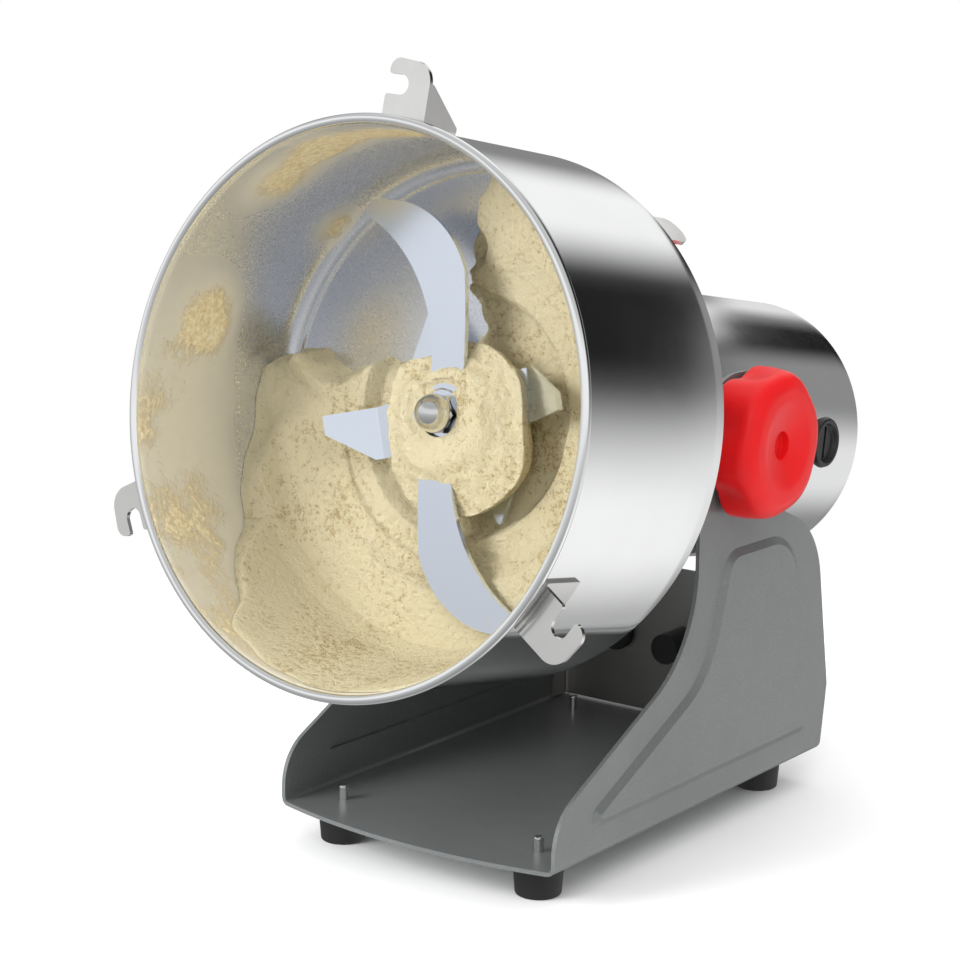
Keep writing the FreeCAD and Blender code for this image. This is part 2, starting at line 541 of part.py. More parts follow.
# A rounded tab for the lid's keeper stands out of the skirt behind the bowl.
tab = new_body("keeper_tab")
tab_half, tab_thick = dim("tab_width") / 2, dim("tab_thick")
tab_far = back_z - dim("tab_reach")
tab_seat = math.sqrt((bowl_in - seat_gap) ** 2 - tab_half ** 2)
pad(tab, outline(tab, "XZ_Plane", "plate", [
    (-tab_half, tab_far, 7), (tab_half, tab_far, 7), (tab_half, floor_in - bowl_wall - 1.5, 0),
    (-tab_half, floor_in - bowl_wall - 1.5, 0)], offset=-tab_seat), "Dims.tab_thick")
place_head(tab, dim("tab_angle") - 90)

# ---- Motor housing: a rolled shell, the flanged front bell that carries the bowl, rear bell and cover.
shell_in = shell - dim("shell_wall")
shell_rear, shell_front = dim("shell_rear"), dim("shell_front")
cap_radius, brush_z = dim("cap_radius"), dim("brush_z")
holder = dim("holder_radius")
motor_shell = ring("motor_shell", [
    (shell_in, shell_rear, 0), (shell, shell_rear, 0.8), (shell, shell_front, 0), (shell_in, shell_front, 0)])
ports = circle(motor_shell, "YZ_Plane", "brush_ports", "Dims.holder_radius + Dims.seat_gap", 0, brush_z)
pocket(motor_shell, ports, symmetric=True)
place_head(motor_shell)

shaft, race, race_width = dim("shaft_radius"), dim("bearing_radius"), dim("bearing_width")
bell_in = shell_in - seat_gap
bell_back = shell_front - dim("bell_register")
flange_low = shell_front + seat_gap
flange_top = floor_step - bowl_wall - seat_gap
web = dim("bell_web")
boss = race + 5
front_bell = ring("front_bell", [
    (race + seat_gap, bell_back, 0), (boss, bell_back, 1), (boss, flange_top - web - 3, 3),
    (bell_in - web, flange_top - web - 3, 3),
    (bell_in - web, bell_back, 1), (bell_in, bell_back, 0), (bell_in, flange_low, 0),
    (shell + 1, flange_low, 0),
    (shell + 1, flange_top - dim("bell_flange"), 2), (dim("bell_radius"), flange_top - dim("bell_flange"), 1),
    (dim("bell_radius"), flange_top, 0.5), (shaft + 6, flange_top, 0),
    (shaft + 6, bell_back + race_width + seat_gap, 0),
    (race + seat_gap, bell_back + race_width + seat_gap, 0)])
place_head(front_bell)
rear_low = dim("rear_bell_z")
rear_top = rear_low + dim("rear_bell_thick")
rear_bell = ring("rear_bell", [
    (race + seat_gap, rear_low, 0), (boss, rear_low, 1), (boss, rear_low + 4, 2),
    (bell_in - 4, rear_low + 4, 2),
    (bell_in - 4, rear_low, 0), (bell_in, rear_low, 0), (bell_in, rear_top, 0.5),
    (bell_in - 4, rear_top, 0.5),
    (bell_in - 4, rear_low + 8, 2), (boss, rear_low + 8, 2), (boss, rear_top, 1), (shaft + 3, rear_top, 0),
    (shaft + 3, rear_low + race_width + seat_gap, 0),
    (race + seat_gap, rear_low + race_width + seat_gap, 0)])
window_low, window_high = boss + 4, bell_in - 9
window = sketch_on(rear_bell, "XY_Plane", "window", rear_low)
spread = math.radians(30)
arm = lambda radius, angle: Vector(radius * math.cos(angle), radius * math.sin(angle), 0)
window.addGeometry([
    Part.Arc(arm(window_high, -spread), arm(window_high, 0), arm(window_high, spread)),
    Part.LineSegment(arm(window_high, spread), arm(window_low, spread)),
    Part.Arc(arm(window_low, spread), arm(window_low, 0), arm(window_low, -spread)),
    Part.LineSegment(arm(window_low, -spread), arm(window_high, -spread))], False)
around(rear_bell, pocket(rear_bell, window, "Dims.rear_bell_thick", reverse=True), "Z_Axis", "4")
place_head(rear_bell)
cover_low = shell_rear + dim("cover_depth")
cover_high = cover_low + dim("cover_thick")
rear_cover = ring("rear_cover", [
    (0, cover_low, 0), (bell_in - 6, cover_low, 2), (bell_in - 4, shell_rear + 0.8, 1),
    (bell_in, shell_rear + 0.8, 0.5),
    (bell_in, cover_high + 6, 0), (bell_in - 2, cover_high + 6, 0), (bell_in - 4, cover_high, 1),
    (0, cover_high, 0)])
vent_middle = (dim("vent_inner") + dim("vent_outer")) / 2
vent_half, vent_side = (dim("vent_outer") - dim("vent_inner")) / 2, dim("vent_width") / 2
vent = outline(rear_cover, "XY_Plane", "vent", rectangle(
    vent_middle - vent_half, vent_middle + vent_half, -vent_side, vent_side, vent_side - 0.1),
    offset=cover_low)
around(rear_cover, pocket(rear_cover, vent, "Dims.cover_thick + 1", reverse=True), "Z_Axis",
       "Dims.vent_count")
place_head(rear_cover)

# ---- Stator, windings and brush gear inside the shell.
armature, gap = dim("armature_radius"), dim("air_gap")
armature_low, armature_length = dim("armature_low"), dim("armature_length")
stator_out = bell_in
pole = dim("pole_width") / 2
stator = new_body("stator_core")
pad(stator, circle(stator, "XY_Plane", "yoke", "Dims.shell_radius - Dims.shell_wall - Dims.seat_gap",
                   offset=armature_low), "Dims.armature_length")
pocket(stator, circle(stator, "XY_Plane", "bore", "Dims.armature_radius + Dims.air_gap", offset=armature_low),
       "Dims.armature_length", reverse=True)
coil_half, coil_gap, coil_round = dim("coil_half"), dim("panel_gap"), dim("coil_round")
room_out, mouth_half = stator_out - dim("yoke_wall"), dim("coil_mouth") / 2
coil_room = outline(stator, "XY_Plane", "coil_room", [
    (pole, -coil_half, 3), (room_out, -coil_half, coil_round), (room_out, coil_half, coil_round),
    (pole, coil_half, 3), (armature - 6, mouth_half, 1), (armature - 6, -mouth_half, 1)], offset=armature_low)
around(stator, pocket(stator, coil_room, "Dims.armature_length", reverse=True), "Z_Axis", "2")
place_head(stator)
for name, sign in (("right", 1), ("left", -1)):
    coil = new_body("field_coil_" + name)
    coil_in, coil_out = armature + 4, stator_out - dim("yoke_wall") - coil_gap
    coil_side = dim("coil_half") - coil_gap
    pad(coil, outline(coil, "XY_Plane", "section", [
        (coil_in, -coil_side, 3), (coil_out, -coil_side, coil_round - coil_gap),
        (coil_out, coil_side, coil_round - coil_gap), (coil_in, coil_side, 3)],
        offset=armature_low - dim("coil_overhang")), "Dims.armature_length + 2 * Dims.coil_overhang")
    place_head(coil, 0 if sign > 0 else 180)
commutator = dim("commutator_radius")
brush_half = dim("brush_width") / 2
cap_face = shell + dim("cap_thick")
for name, sign in (("right", 1), ("left", -1)):
    brush = new_body("carbon_brush_" + name)
    pad(brush, outline(brush, "YZ_Plane", "section", rectangle(
        -brush_half, brush_half, brush_z - dim("brush_height") / 2, brush_z + dim("brush_height") / 2, 0.4),
        offset=commutator + 0.3), "Dims.brush_length")
    brush_holder = new_body("brush_holder_" + name)
    holder_low = commutator + 2.5
    pad(brush_holder, circle(brush_holder, "YZ_Plane", "tube", "Dims.holder_radius", 0, brush_z,
                             offset=holder_low),
        "Dims.shell_radius - Dims.commutator_radius - 2.5")
    pocket(brush_holder, outline(brush_holder, "YZ_Plane", "track", rectangle(
        -brush_half - 0.1, brush_half + 0.1, brush_z - dim("brush_height") / 2 - 0.1,
        brush_z + dim("brush_height") / 2 + 0.1), offset=holder_low), "Dims.shell_radius", reverse=True)
    brush_cap = ring("brush_cap_" + name, [
        (shell + seat_gap, 0, 0), (cap_face - 2.2, 0, 0), (cap_face - 2.2, cap_radius - 4.5, 0.6),
        (cap_face, cap_radius - 3, 1), (cap_face, cap_radius - 1, 1), (cap_face - 2.6, cap_radius, 1.2),
        (shell + 3.2, cap_radius - 1, 0.8), (shell + 2.4, dim("cap_flange"), 0.6),
        (shell + seat_gap, dim("cap_flange"), 0)], axis="H_Axis")
    slot = outline(brush_cap, "YZ_Plane", "slot", rectangle(-cap_radius + 5, cap_radius - 5, -1, 1),
                   offset=cap_face)
    pocket(brush_cap, slot, "Dims.driver_slot")
    for body in (brush, brush_holder):
        place_head(body, 0 if sign > 0 else 180)
    tilt = Rotation(Vector(1, 0, 0), 90 - dim("rest_tilt"))
    tilt = tilt.multiply(Rotation(Vector(0, 0, 1), 0 if sign > 0 else 180))
    brush_cap.Placement = Placement(Vector(0, 0, pivot_height), tilt).multiply(
        Placement(Vector(0, 0, brush_z), Rotation()))
for name, low in (("front_bearing", bell_back), ("rear_bearing", rear_low)):
    place_head(ring(name, [
        (shaft + fit, low, 0.4), (race, low, 0.6), (race, low + race_width, 0.6),
        (shaft + fit, low + race_width, 0.4)]))
seal_low = flange_top + seat_gap
seal_foot, seal_neck = seal_low - dim("seal_depth"), shaft + dim("seal_wall")
place_head(ring("shaft_seal", [
    (shaft + fit, seal_foot, 0), (seal_neck, seal_foot, 0.4), (seal_neck, seal_low, 0),
    (dim("bowl_bore") - 0.1, seal_low, 0),
    (dim("bowl_bore") - 0.1, seal_low + 1, 0), (shaft + 4, seal_low + 2, 1), (shaft + fit, seal_low + 2, 0)]))

# ---- Rotor: shaft with armature, commutator, cooling fan and the stacked blades under a cap nut.
hub, hub_base, blade_thick = dim("hub_radius"), dim("hub_base"), dim("blade_thick")
low_z = hub_base + dim("hub_height")
mid_z = low_z + blade_thick + dim("low_spacer")
top_z = mid_z + blade_thick + dim("mid_spacer")
nut_z = top_z + blade_thick
bore = shaft + seat_gap
motor_shaft = ring("motor_shaft", [
    (0, rear_low + 1, 0), (shaft, rear_low + 1, 0.6), (shaft, nut_z + dim("nut_height"), 0.8),
    (0, nut_z + dim("nut_height"), 0)])
place_head(motor_shaft)
armature_core = new_body("armature")
pad(armature_core, circle(armature_core, "XY_Plane", "core", "Dims.armature_radius", offset=armature_low),
    "Dims.armature_length")
pocket(armature_core, circle(armature_core, "XY_Plane", "bore", "Dims.shaft_radius + Dims.seat_gap",
                             offset=armature_low),
       "Dims.armature_length", reverse=True)
teeth = outline(armature_core, "XY_Plane", "tooth_slot", rectangle(armature - 9, armature + 2, -1.6, 1.6),
                offset=armature_low)
around(armature_core, pocket(armature_core, teeth, "Dims.armature_length", reverse=True),
       "Z_Axis", "Dims.slot_count")
place_head(armature_core)
com_low = brush_z - dim("commutator_length") / 2
place_head(ring("commutator", [
    (bore, com_low, 0), (commutator, com_low, 0.6), (commutator, com_low + dim("commutator_length"), 0),
    (commutator + 3, com_low + dim("commutator_length"), 0.5),
    (commutator + 3, com_low + dim("commutator_length") + 3, 0.5),
    (bore, com_low + dim("commutator_length") + 3, 0)]))
fan_low = dim("fan_level")
fan_top = fan_low + dim("fan_height")
fan = ring("cooling_fan", [
    (bore, fan_low, 0), (hub, fan_low, 0), (hub, fan_top - 2.5, 2), (dim("fan_radius"), fan_top - 2.5, 0),
    (dim("fan_radius"), fan_top, 0.8), (bore, fan_top, 0)])
vane = pad(fan, outline(fan, "XY_Plane", "vane", rectangle(hub - 1, dim("fan_radius") - 1, -1, 1),
                        offset=fan_low + 1), "Dims.fan_height - 2")
around(fan, vane, "Z_Axis", "Dims.fan_blades")
place_head(fan)
place_head(ring("hub_collar", [
    (bore, hub_base, 0), (hub, hub_base, 0.8), (hub, low_z - 1.5, 1), (hub - 2, low_z - seat_gap, 0.5),
    (bore, low_z - seat_gap, 0)]))
for name, low, high in (("blade_spacer_low", low_z + blade_thick, mid_z),
                        ("blade_spacer_mid", mid_z + blade_thick, top_z)):
    place_head(ring(name, [
        (bore, low + seat_gap, 0), (hub - 4, low + seat_gap, 0.4), (hub - 4, high - seat_gap, 0.4),
        (bore, high - seat_gap, 0)]))


def bladed(name, low, turn):
    """A blade blank's body; its shaft hole is cut once the plan is padded."""
    body = new_body(name)
    place_head(body, turn)
    return body


# top blade: two sickle arms swept the same way, half a turn apart
root, tip = dim("sickle_root"), dim("sickle_tip")
top_blade = bladed("blade_top", top_z, 0)
plan = sketch_on(top_blade, "XY_Plane", "plan", top_z)
half_turn = Rotation(Vector(0, 0, 1), 180)
for flip in (False, True):
    def at(x, y):
        point = Vector(x * tip / 104, y * tip / 104, 0)
        return half_turn.multVec(point) if flip else point
    root_right, root_left = at(root, 0), at(-root, 0)
    plan.addGeometry([
        Part.Arc(root_right, at(8.6, 34), at(4.6, 64)),
        Part.Arc(at(4.6, 64), at(-13.5, 85.5), at(-42, 93)),
        Part.Arc(at(-42, 93), at(-50, 93), at(-55.5, 88.5)),
        Part.LineSegment(at(-55.5, 88.5), at(-53.5, 85)),
        Part.Arc(at(-53.5, 85), at(-22.5, 60.5), root_left)], False)
pad(top_blade, plan, "Dims.blade_thick")
pocket(top_blade, circle(top_blade, "XY_Plane", "bore", "Dims.shaft_radius + Dims.seat_gap", offset=top_z),
       "Dims.blade_thick", reverse=True)

# middle blade: a bar with pointed wings folded towards the mouth
mid_blade = bladed("blade_mid", mid_z, dim("mid_turn"))
reach, wing, rise = dim("bar_reach"), dim("wing_length"), dim("wing_rise")
bend_x = reach - wing
fold = outline(mid_blade, "XZ_Plane", "fold", [
    (-bend_x, mid_z, 3), (bend_x, mid_z, 3), (reach, mid_z + rise, 0), (reach - 1.6, mid_z + rise + 2, 0),
    (bend_x - 1, mid_z + blade_thick, 2), (-bend_x + 1, mid_z + blade_thick, 2),
    (-reach + 1.6, mid_z + rise + 2, 0),
    (-reach, mid_z + rise, 0)])
pad(mid_blade, fold, "Dims.bar_width", symmetric=True)
bar = dim("bar_width") / 2
for sign in (1, -1):
    corner = [(sign * (bend_x + 2), sign * bar, 0), (sign * (reach + 2), -sign * bar * 0.5, 0),
              (sign * (reach + 2), sign * (bar + 2), 0), (sign * (bend_x + 2), sign * (bar + 2), 0)]
    pocket(mid_blade, outline(mid_blade, "XY_Plane", "trim_%s" % ("right" if sign > 0 else "left"), corner,
                              offset=mid_z - 5), "Dims.wing_rise * 4", reverse=True)
pocket(mid_blade, circle(mid_blade, "XY_Plane", "bore", "Dims.shaft_radius + Dims.seat_gap",
                         offset=mid_z - 1),
       "Dims.blade_thick + 2", reverse=True)

# low blade: a short flat bar, its ends cut to points
low_blade = bladed("blade_low", low_z, dim("low_turn"))
low_half, low_reach, low_cut = dim("low_width") / 2, dim("low_reach"), dim("low_cut")
pad(low_blade, outline(low_blade, "XY_Plane", "plan", [
    (-low_reach + low_cut, -low_half, 2), (low_reach, -low_half + 2, 1), (low_reach - low_cut, low_half, 2),
    (-low_reach, low_half - 2, 1)], offset=low_z), "Dims.blade_thick")
pocket(low_blade, circle(low_blade, "XY_Plane", "bore", "Dims.shaft_radius + Dims.seat_gap", offset=low_z),
       "Dims.blade_thick", reverse=True)

nut_radius, nut_hex, nut_height = dim("nut_radius"), dim("nut_hex"), dim("nut_height")
cap_nut = new_body("cap_nut")
nut_corner = nut_hex / math.cos(math.pi / 6)
hexagon = [(nut_corner * math.cos(math.pi / 3 * k), nut_corner * math.sin(math.pi / 3 * k),
            0.5) for k in range(6)]
pad(cap_nut, outline(cap_nut, "XY_Plane", "hexagon", hexagon, offset=nut_z + seat_gap), "Dims.nut_height")
dome = sketch_on(cap_nut, "XZ_Plane", "dome")
dome_z = nut_z + seat_gap + nut_height - 1
drop = nut_radius * math.sin(math.radians(15))
dome.addGeometry([
    Part.LineSegment(Vector(0, dome_z, 0), Vector(nut_radius * math.cos(math.radians(15)), dome_z, 0)),
    Part.Arc(Vector(nut_radius * math.cos(math.radians(15)), dome_z, 0),
             Vector(nut_radius * math.cos(math.radians(40)),
                    dome_z + drop + nut_radius * math.sin(math.radians(40)), 0),
             Vector(0, dome_z + drop + nut_radius, 0)),
    Part.LineSegment(Vector(0, dome_z + drop + nut_radius, 0), Vector(0, dome_z, 0))], False)
revolve(cap_nut, dome)
pocket(cap_nut, circle(cap_nut, "XY_Plane", "bore", "Dims.shaft_radius + Dims.seat_gap", offset=nut_z),
       "Dims.nut_height + 0.2", reverse=True)
place_head(cap_nut)

# ---- Check every object and piece, then write the pieces.
doc.recompute()
faults = [item.Name for item in doc.Objects if "Invalid" in item.State or "Error" in item.State]
for body in parts:
    shape = body.Shape
    if shape.isNull() or not shape.isValid() or len(shape.Solids) != 1:
        faults.append(body.Label)
if faults:
    raise ValueError("failed: " + ", ".join(faults))
os.makedirs("parts", exist_ok=True)
for body in parts:
    body.Shape.exportStep("parts/%s.step" % body.Label)
whole = Part.Compound([body.Shape for body in parts])
print(len(parts), "pieces", [round(v, 1) for v in (whole.BoundBox.XLength, whole.BoundBox.YLength,
                                                   whole.BoundBox.ZLength)])
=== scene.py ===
import json
import math
import bpy
import bmesh
import numpy as np
from mathutils import Matrix, Vector


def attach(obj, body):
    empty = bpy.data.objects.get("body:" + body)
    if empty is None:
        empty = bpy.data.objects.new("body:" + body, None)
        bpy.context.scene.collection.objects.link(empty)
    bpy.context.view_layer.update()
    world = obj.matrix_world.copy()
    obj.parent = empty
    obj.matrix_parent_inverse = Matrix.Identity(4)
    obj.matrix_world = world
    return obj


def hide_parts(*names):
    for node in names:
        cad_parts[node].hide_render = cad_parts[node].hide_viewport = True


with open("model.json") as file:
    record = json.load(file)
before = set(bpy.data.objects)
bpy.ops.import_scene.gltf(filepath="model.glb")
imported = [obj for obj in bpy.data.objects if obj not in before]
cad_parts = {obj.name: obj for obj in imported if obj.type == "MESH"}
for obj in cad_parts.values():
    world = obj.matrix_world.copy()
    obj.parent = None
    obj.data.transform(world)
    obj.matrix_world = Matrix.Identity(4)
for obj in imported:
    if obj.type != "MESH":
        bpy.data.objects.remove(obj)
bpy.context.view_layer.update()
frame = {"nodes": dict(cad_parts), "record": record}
nodes = frame["nodes"]
scene = bpy.context.scene

# The head is drawn along the bowl's axis: across (x), up across the axis (v) and along it to the mouth (l), in mm.
head = {"pivotHeight": 191.7, "tilt": 9.0}
tiltCos, tiltSin = math.cos(math.radians(head["tilt"])), math.sin(math.radians(head["tilt"]))


def headPoint(x, v, l):
    # turns head coordinates in mm into metres in the part's frame
    x, v, l = np.broadcast_arrays(x, v, l)
    return np.stack([x, -l * tiltCos + v * tiltSin, head["pivotHeight"] + l * tiltSin + v * tiltCos], -1) / 1000


def headCoordinates(points):
    # the inverse of headPoint
    y, z = points[:, 1] * 1000, points[:, 2] * 1000 - head["pivotHeight"]
    return points[:, 0] * 1000, y * tiltSin + z * tiltCos, -y * tiltCos + z * tiltSin


# helpers for surfaces

def smooth(value, low, high):
    # 0 below low, 1 above high and an S between them
    t = np.clip((value - low) / (high - low), 0, 1)
    return t * t * (3 - 2 * t)


def gridMesh(name, points, closedColumns=False, smoothAngle=35):
    # one quad for each cell of a grid of points; rows run round a closed turn, columns may close too
    rows, columns = points.shape[:2]
    u = np.arange(rows)[:, None]
    v = np.arange(columns if closedColumns else columns - 1)[None, :]
    nextU, nextV = (u + 1) % rows, (v + 1) % columns
    quads = np.stack([u * columns + v, nextU * columns + v, nextU * columns + nextV, u * columns + nextV], -1)
    mesh = bpy.data.meshes.new(name)
    mesh.from_pydata(points.reshape(-1, 3).tolist(), [], quads.reshape(-1, 4).tolist())
    return finishMesh(name, mesh, smoothAngle)


def finishMesh(name, mesh, smoothAngle=35):
    # closes seams and poles, turns faces outwards and shades smooth up to an angle
    work = bmesh.new()
    work.from_mesh(mesh)
    bmesh.ops.remove_doubles(work, verts=work.verts, dist=2e-6)
    bmesh.ops.dissolve_degenerate(work, edges=work.edges, dist=1e-7)
    bmesh.ops.recalc_face_normals(work, faces=work.faces)
    work.to_mesh(mesh)
    work.free()
    mesh.polygons.foreach_set("use_smooth", [True] * len(mesh.polygons))
    mesh.set_sharp_from_angle(angle=math.radians(smoothAngle))
    piece = bpy.data.objects.new(name, mesh)
    scene.collection.objects.link(piece)
    return piece


def roundedPath(corners, step=9.0):
    # corners (a, b, radius) of an open path; every rounded corner becomes an arc with a point each few degrees
    path = [np.array(corners[0][:2], float)[None]]
    for before, here, after in zip(corners[:-2], corners[1:-1], corners[2:]):
        p0, p1, p2 = (np.array(c[:2], float) for c in (before, here, after))
        d0, d1 = (p1 - p0) / np.linalg.norm(p1 - p0), (p2 - p1) / np.linalg.norm(p2 - p1)
        turn = math.acos(max(-1, min(1, float(d0 @ d1))))
        if here[2] <= 0 or turn < 1e-3:
            path.append(p1[None])
            continue
        reach = here[2] * math.tan(turn / 2)
        side = np.array([-d0[1], d0[0]]) * np.sign(d0[0] * d1[1] - d0[1] * d1[0])
        centre = p1 - d0 * reach + side * here[2]
        t = np.linspace(0, turn, max(3, int(math.degrees(turn) / step) + 2))[:, None]
        path.append(centre - side * here[2] * np.cos(t) + d0 * here[2] * np.sin(t))
    path.append(np.array(corners[-1][:2], float)[None])
    return np.concatenate(path)


def fillPath(path, spacing):
    # adds points on long straight runs, so that patterns and displacement have something to hold on to
    out = []
    for a, b in zip(path[:-1], path[1:]):
        count = max(1, int(np.linalg.norm(b - a) / spacing))
        out.append(a + (b - a) * (np.arange(count) / count)[:, None])
    return np.concatenate(out + [path[-1:]])


def turnedAboutBowl(name, path, segments):
    # a profile (radius, l) carried round the bowl's axis; the path closes on itself
    angle = np.arange(segments)[:, None] * 2 * math.pi / segments
    radius, l = path[:, 0][None], path[:, 1][None]
    points = headPoint(radius * np.cos(angle), radius * np.sin(angle), l + 0 * angle)
    return gridMesh(name, points, closedColumns=True)


# materials: groups first, then one function per finish

def newGroup(name, inputs, outputs):
    group = bpy.data.node_groups.new(name, "ShaderNodeTree")
    for socketName, kind, value in inputs:
        socket = group.interface.new_socket(socketName, in_out="INPUT", socket_type=kind)
        socket.default_value = value
    for socketName, kind in outputs:
        group.interface.new_socket(socketName, in_out="OUTPUT", socket_type=kind)
    start, end = group.nodes.new("NodeGroupInput"), group.nodes.new("NodeGroupOutput")
    return group, start, end


def link(tree, source, target):
    tree.links.new(source, target)


def mathNode(tree, operation, first, second=None, clamp=False):
    node = tree.nodes.new("ShaderNodeMath")
    node.operation, node.use_clamp = operation, clamp
    for socket, value in zip(node.inputs, (first, second)):
        if value is None:
            continue
        if isinstance(value, (int, float)):
            socket.default_value = value
        else:
            link(tree, value, socket)
    return node.outputs[0]


def noiseNode(tree, vector, scale, detail=4.0, roughness=0.55):
    node = tree.nodes.new("ShaderNodeTexNoise")
    for socketName, value in (("Scale", scale), ("Detail", detail), ("Roughness", roughness)):
        if isinstance(value, (int, float)):
            node.inputs[socketName].default_value = value
        else:
            link(tree, value, node.inputs[socketName])
    link(tree, vector, node.inputs["Vector"])
    return node.outputs["Fac"]


def rangeNode(tree, value, low, high, toLow=0.0, toHigh=1.0):
    node = tree.nodes.new("ShaderNodeMapRange")
    node.interpolation_type = "SMOOTHSTEP"
    link(tree, value, node.inputs["Value"])
    for socketName, number in (("From Min", low), ("From Max", high), ("To Min", toLow), ("To Max", toHigh)):
        node.inputs[socketName].default_value = number
    return node.outputs["Result"]


def mixColor(tree, factor, first, second):
    node = tree.nodes.new("ShaderNodeMix")
    node.data_type = "RGBA"
    for socket, value in ((node.inputs[0], factor), (node.inputs[6], first), (node.inputs[7], second)):
        if isinstance(value, (int, float)):
            socket.default_value = value
        elif isinstance(value, (tuple, list)):
            socket.default_value = (*value[:3], 1)
        else:
            link(tree, value, socket)
    return node.outputs[2]


def buildBrushing():
    # fine lines: noise squeezed across them and drawn out along them by the Stretch vector
    group, start, end = newGroup("brushing", [
        ("Stretch", "NodeSocketVector", (1, 1, 1)), ("Scale", "NodeSocketFloat", 900.0)],
        [("Height", "NodeSocketFloat"), ("Roughness", "NodeSocketFloat")])
    coordinates = group.nodes.new("ShaderNodeTexCoord")
    scaled = group.nodes.new("ShaderNodeVectorMath")
    scaled.operation = "MULTIPLY"
    link(group, coordinates.outputs["Object"], scaled.inputs[0])
    link(group, start.outputs["Stretch"], scaled.inputs[1])
    lines = noiseNode(group, scaled.outputs[0], start.outputs["Scale"], 3.0, 0.6)
    clouds = noiseNode(group, coordinates.outputs["Object"], 34.0, 3.0)
    link(group, lines, end.inputs["Height"])
    mixed = mathNode(group, "ADD", mathNode(group, "MULTIPLY", lines, 0.6),
                     mathNode(group, "MULTIPLY", clouds, 0.4))
    link(group, mixed, end.inputs["Roughness"])
    return group


def buildHandling():
    # smudges and fine specks left by use: Smudge for roughness, Speck for small bright or dark dots
    group, start, end = newGroup("handling", [("Size", "NodeSocketFloat", 30.0)],
                                 [("Smudge", "NodeSocketFloat"), ("Speck", "NodeSocketFloat")])
    coordinates = group.nodes.new("ShaderNodeTexCoord")
    broad = noiseNode(group, coordinates.outputs["Object"], start.outputs["Size"], 5.0, 0.62)
    fine = noiseNode(group, coordinates.outputs["Object"], 1900.0, 2.0, 0.5)
    link(group, rangeNode(group, broad, 0.35, 0.7), end.inputs["Smudge"])
    link(group, rangeNode(group, fine, 0.52, 0.78), end.inputs["Speck"])
    return group


def buildFlourDust():
    # a clinging film that gathers where the Amount is high, broken up at two sizes; its darker tone sits on the
    # low points of its height as painted shade
    group, start, end = newGroup("flourDust", [
        ("Amount", "NodeSocketFloat", 0.5), ("Pale", "NodeSocketColor", (0.84, 0.75, 0.52, 1)),
        ("HollowShade", "NodeSocketColor", (0.62, 0.48, 0.25, 1))],
        [("Mask", "NodeSocketFloat"), ("Color", "NodeSocketColor"), ("Height", "NodeSocketFloat")])
    coordinates = group.nodes.new("ShaderNodeTexCoord")
    broad = noiseNode(group, coordinates.outputs["Object"], 26.0, 6.0, 0.66)
    fine = noiseNode(group, coordinates.outputs["Object"], 420.0, 4.0, 0.7)
    mixed = mathNode(group, "ADD", mathNode(group, "MULTIPLY", broad, 0.72),
                     mathNode(group, "MULTIPLY", fine, 0.28))
    raised = mathNode(group, "ADD", mixed, start.outputs["Amount"])
    mask = rangeNode(group, raised, 0.92, 1.06)
    link(group, mask, end.inputs["Mask"])
    # the darker colour goes where the fine noise, and so the height, is low: painted shade in the film's hollows
    link(group, mixColor(group, rangeNode(group, fine, 0.3, 0.72), start.outputs["HollowShade"], start.outputs["Pale"]),
         end.inputs["Color"])
    link(group, mathNode(group, "MULTIPLY", mask, mathNode(group, "ADD", fine, broad)), end.inputs["Height"])
    return group


brushing, handling, flourDust = buildBrushing(), buildHandling(), buildFlourDust()


def newMaterial(name):
    material = bpy.data.materials.new(name)
    material.use_nodes = True
    tree = material.node_tree
    shader = tree.nodes["Principled BSDF"]
    return material, tree, shader


def placeGroup(tree, group, **values):
    node = tree.nodes.new("ShaderNodeGroup")
    node.node_tree = group
    for socketName, value in values.items():
        node.inputs[socketName].default_value = value
    return node


def bump(tree, shader, height, distance, strength=1.0):
    node = tree.nodes.new("ShaderNodeBump")
    node.inputs["Distance"].default_value = distance
    node.inputs["Strength"].default_value = strength
    link(tree, height, node.inputs["Height"])
    link(tree, node.outputs["Normal"], shader.inputs["Normal"])


def metal(name, color, roughness, stretch=(1, 1, 1), scale=900.0, lineHeight=2e-6, spread=0.08, tint=0.9):
    # bare metal: lines in the height and the roughness, smudges in the roughness and the colour
    material, tree, shader = newMaterial(name)
    lines = placeGroup(tree, brushing, Stretch=stretch, Scale=scale)
    marks = placeGroup(tree, handling, Size=22.0)
    shader.inputs["Metallic"].default_value = 1.0
    rough = mathNode(tree, "ADD", mathNode(tree, "MULTIPLY", lines.outputs["Roughness"], spread),
                     mathNode(tree, "MULTIPLY", marks.outputs["Smudge"], spread * 0.6))
    link(tree, mathNode(tree, "ADD", rough, max(roughness - spread * 0.6, 0.02)), shader.inputs["Roughness"])
    link(tree, mixColor(tree, marks.outputs["Smudge"], color, [c * tint for c in color]),
         shader.inputs["Base Color"])
    bump(tree, shader, lines.outputs["Height"], lineHeight)
    return material


def plastic(name, color, roughness, coat=0.0, grain=0.0, shift=0.85, gloss=0.5):
    # moulded plastic or rubber: slight mottling of the colour, smudged gloss and a fine grain
    material, tree, shader = newMaterial(name)
    marks = placeGroup(tree, handling, Size=40.0)
    link(tree, mixColor(tree, marks.outputs["Smudge"], color, [c * shift for c in color]),
         shader.inputs["Base Color"])
    link(tree, mathNode(tree, "ADD", mathNode(tree, "MULTIPLY", marks.outputs["Smudge"], 0.07), roughness),
         shader.inputs["Roughness"])
    shader.inputs["Coat Weight"].default_value = coat
    shader.inputs["Coat Roughness"].default_value = 0.06
    shader.inputs["Specular IOR Level"].default_value = gloss
    bump(tree, shader, marks.outputs["Speck"], max(grain, 1e-6))
    return material


paint = {"grey": (0.185, 0.195, 0.194), "flake": (0.29, 0.30, 0.30), "roughness": 0.33, "metallic": 0.35}


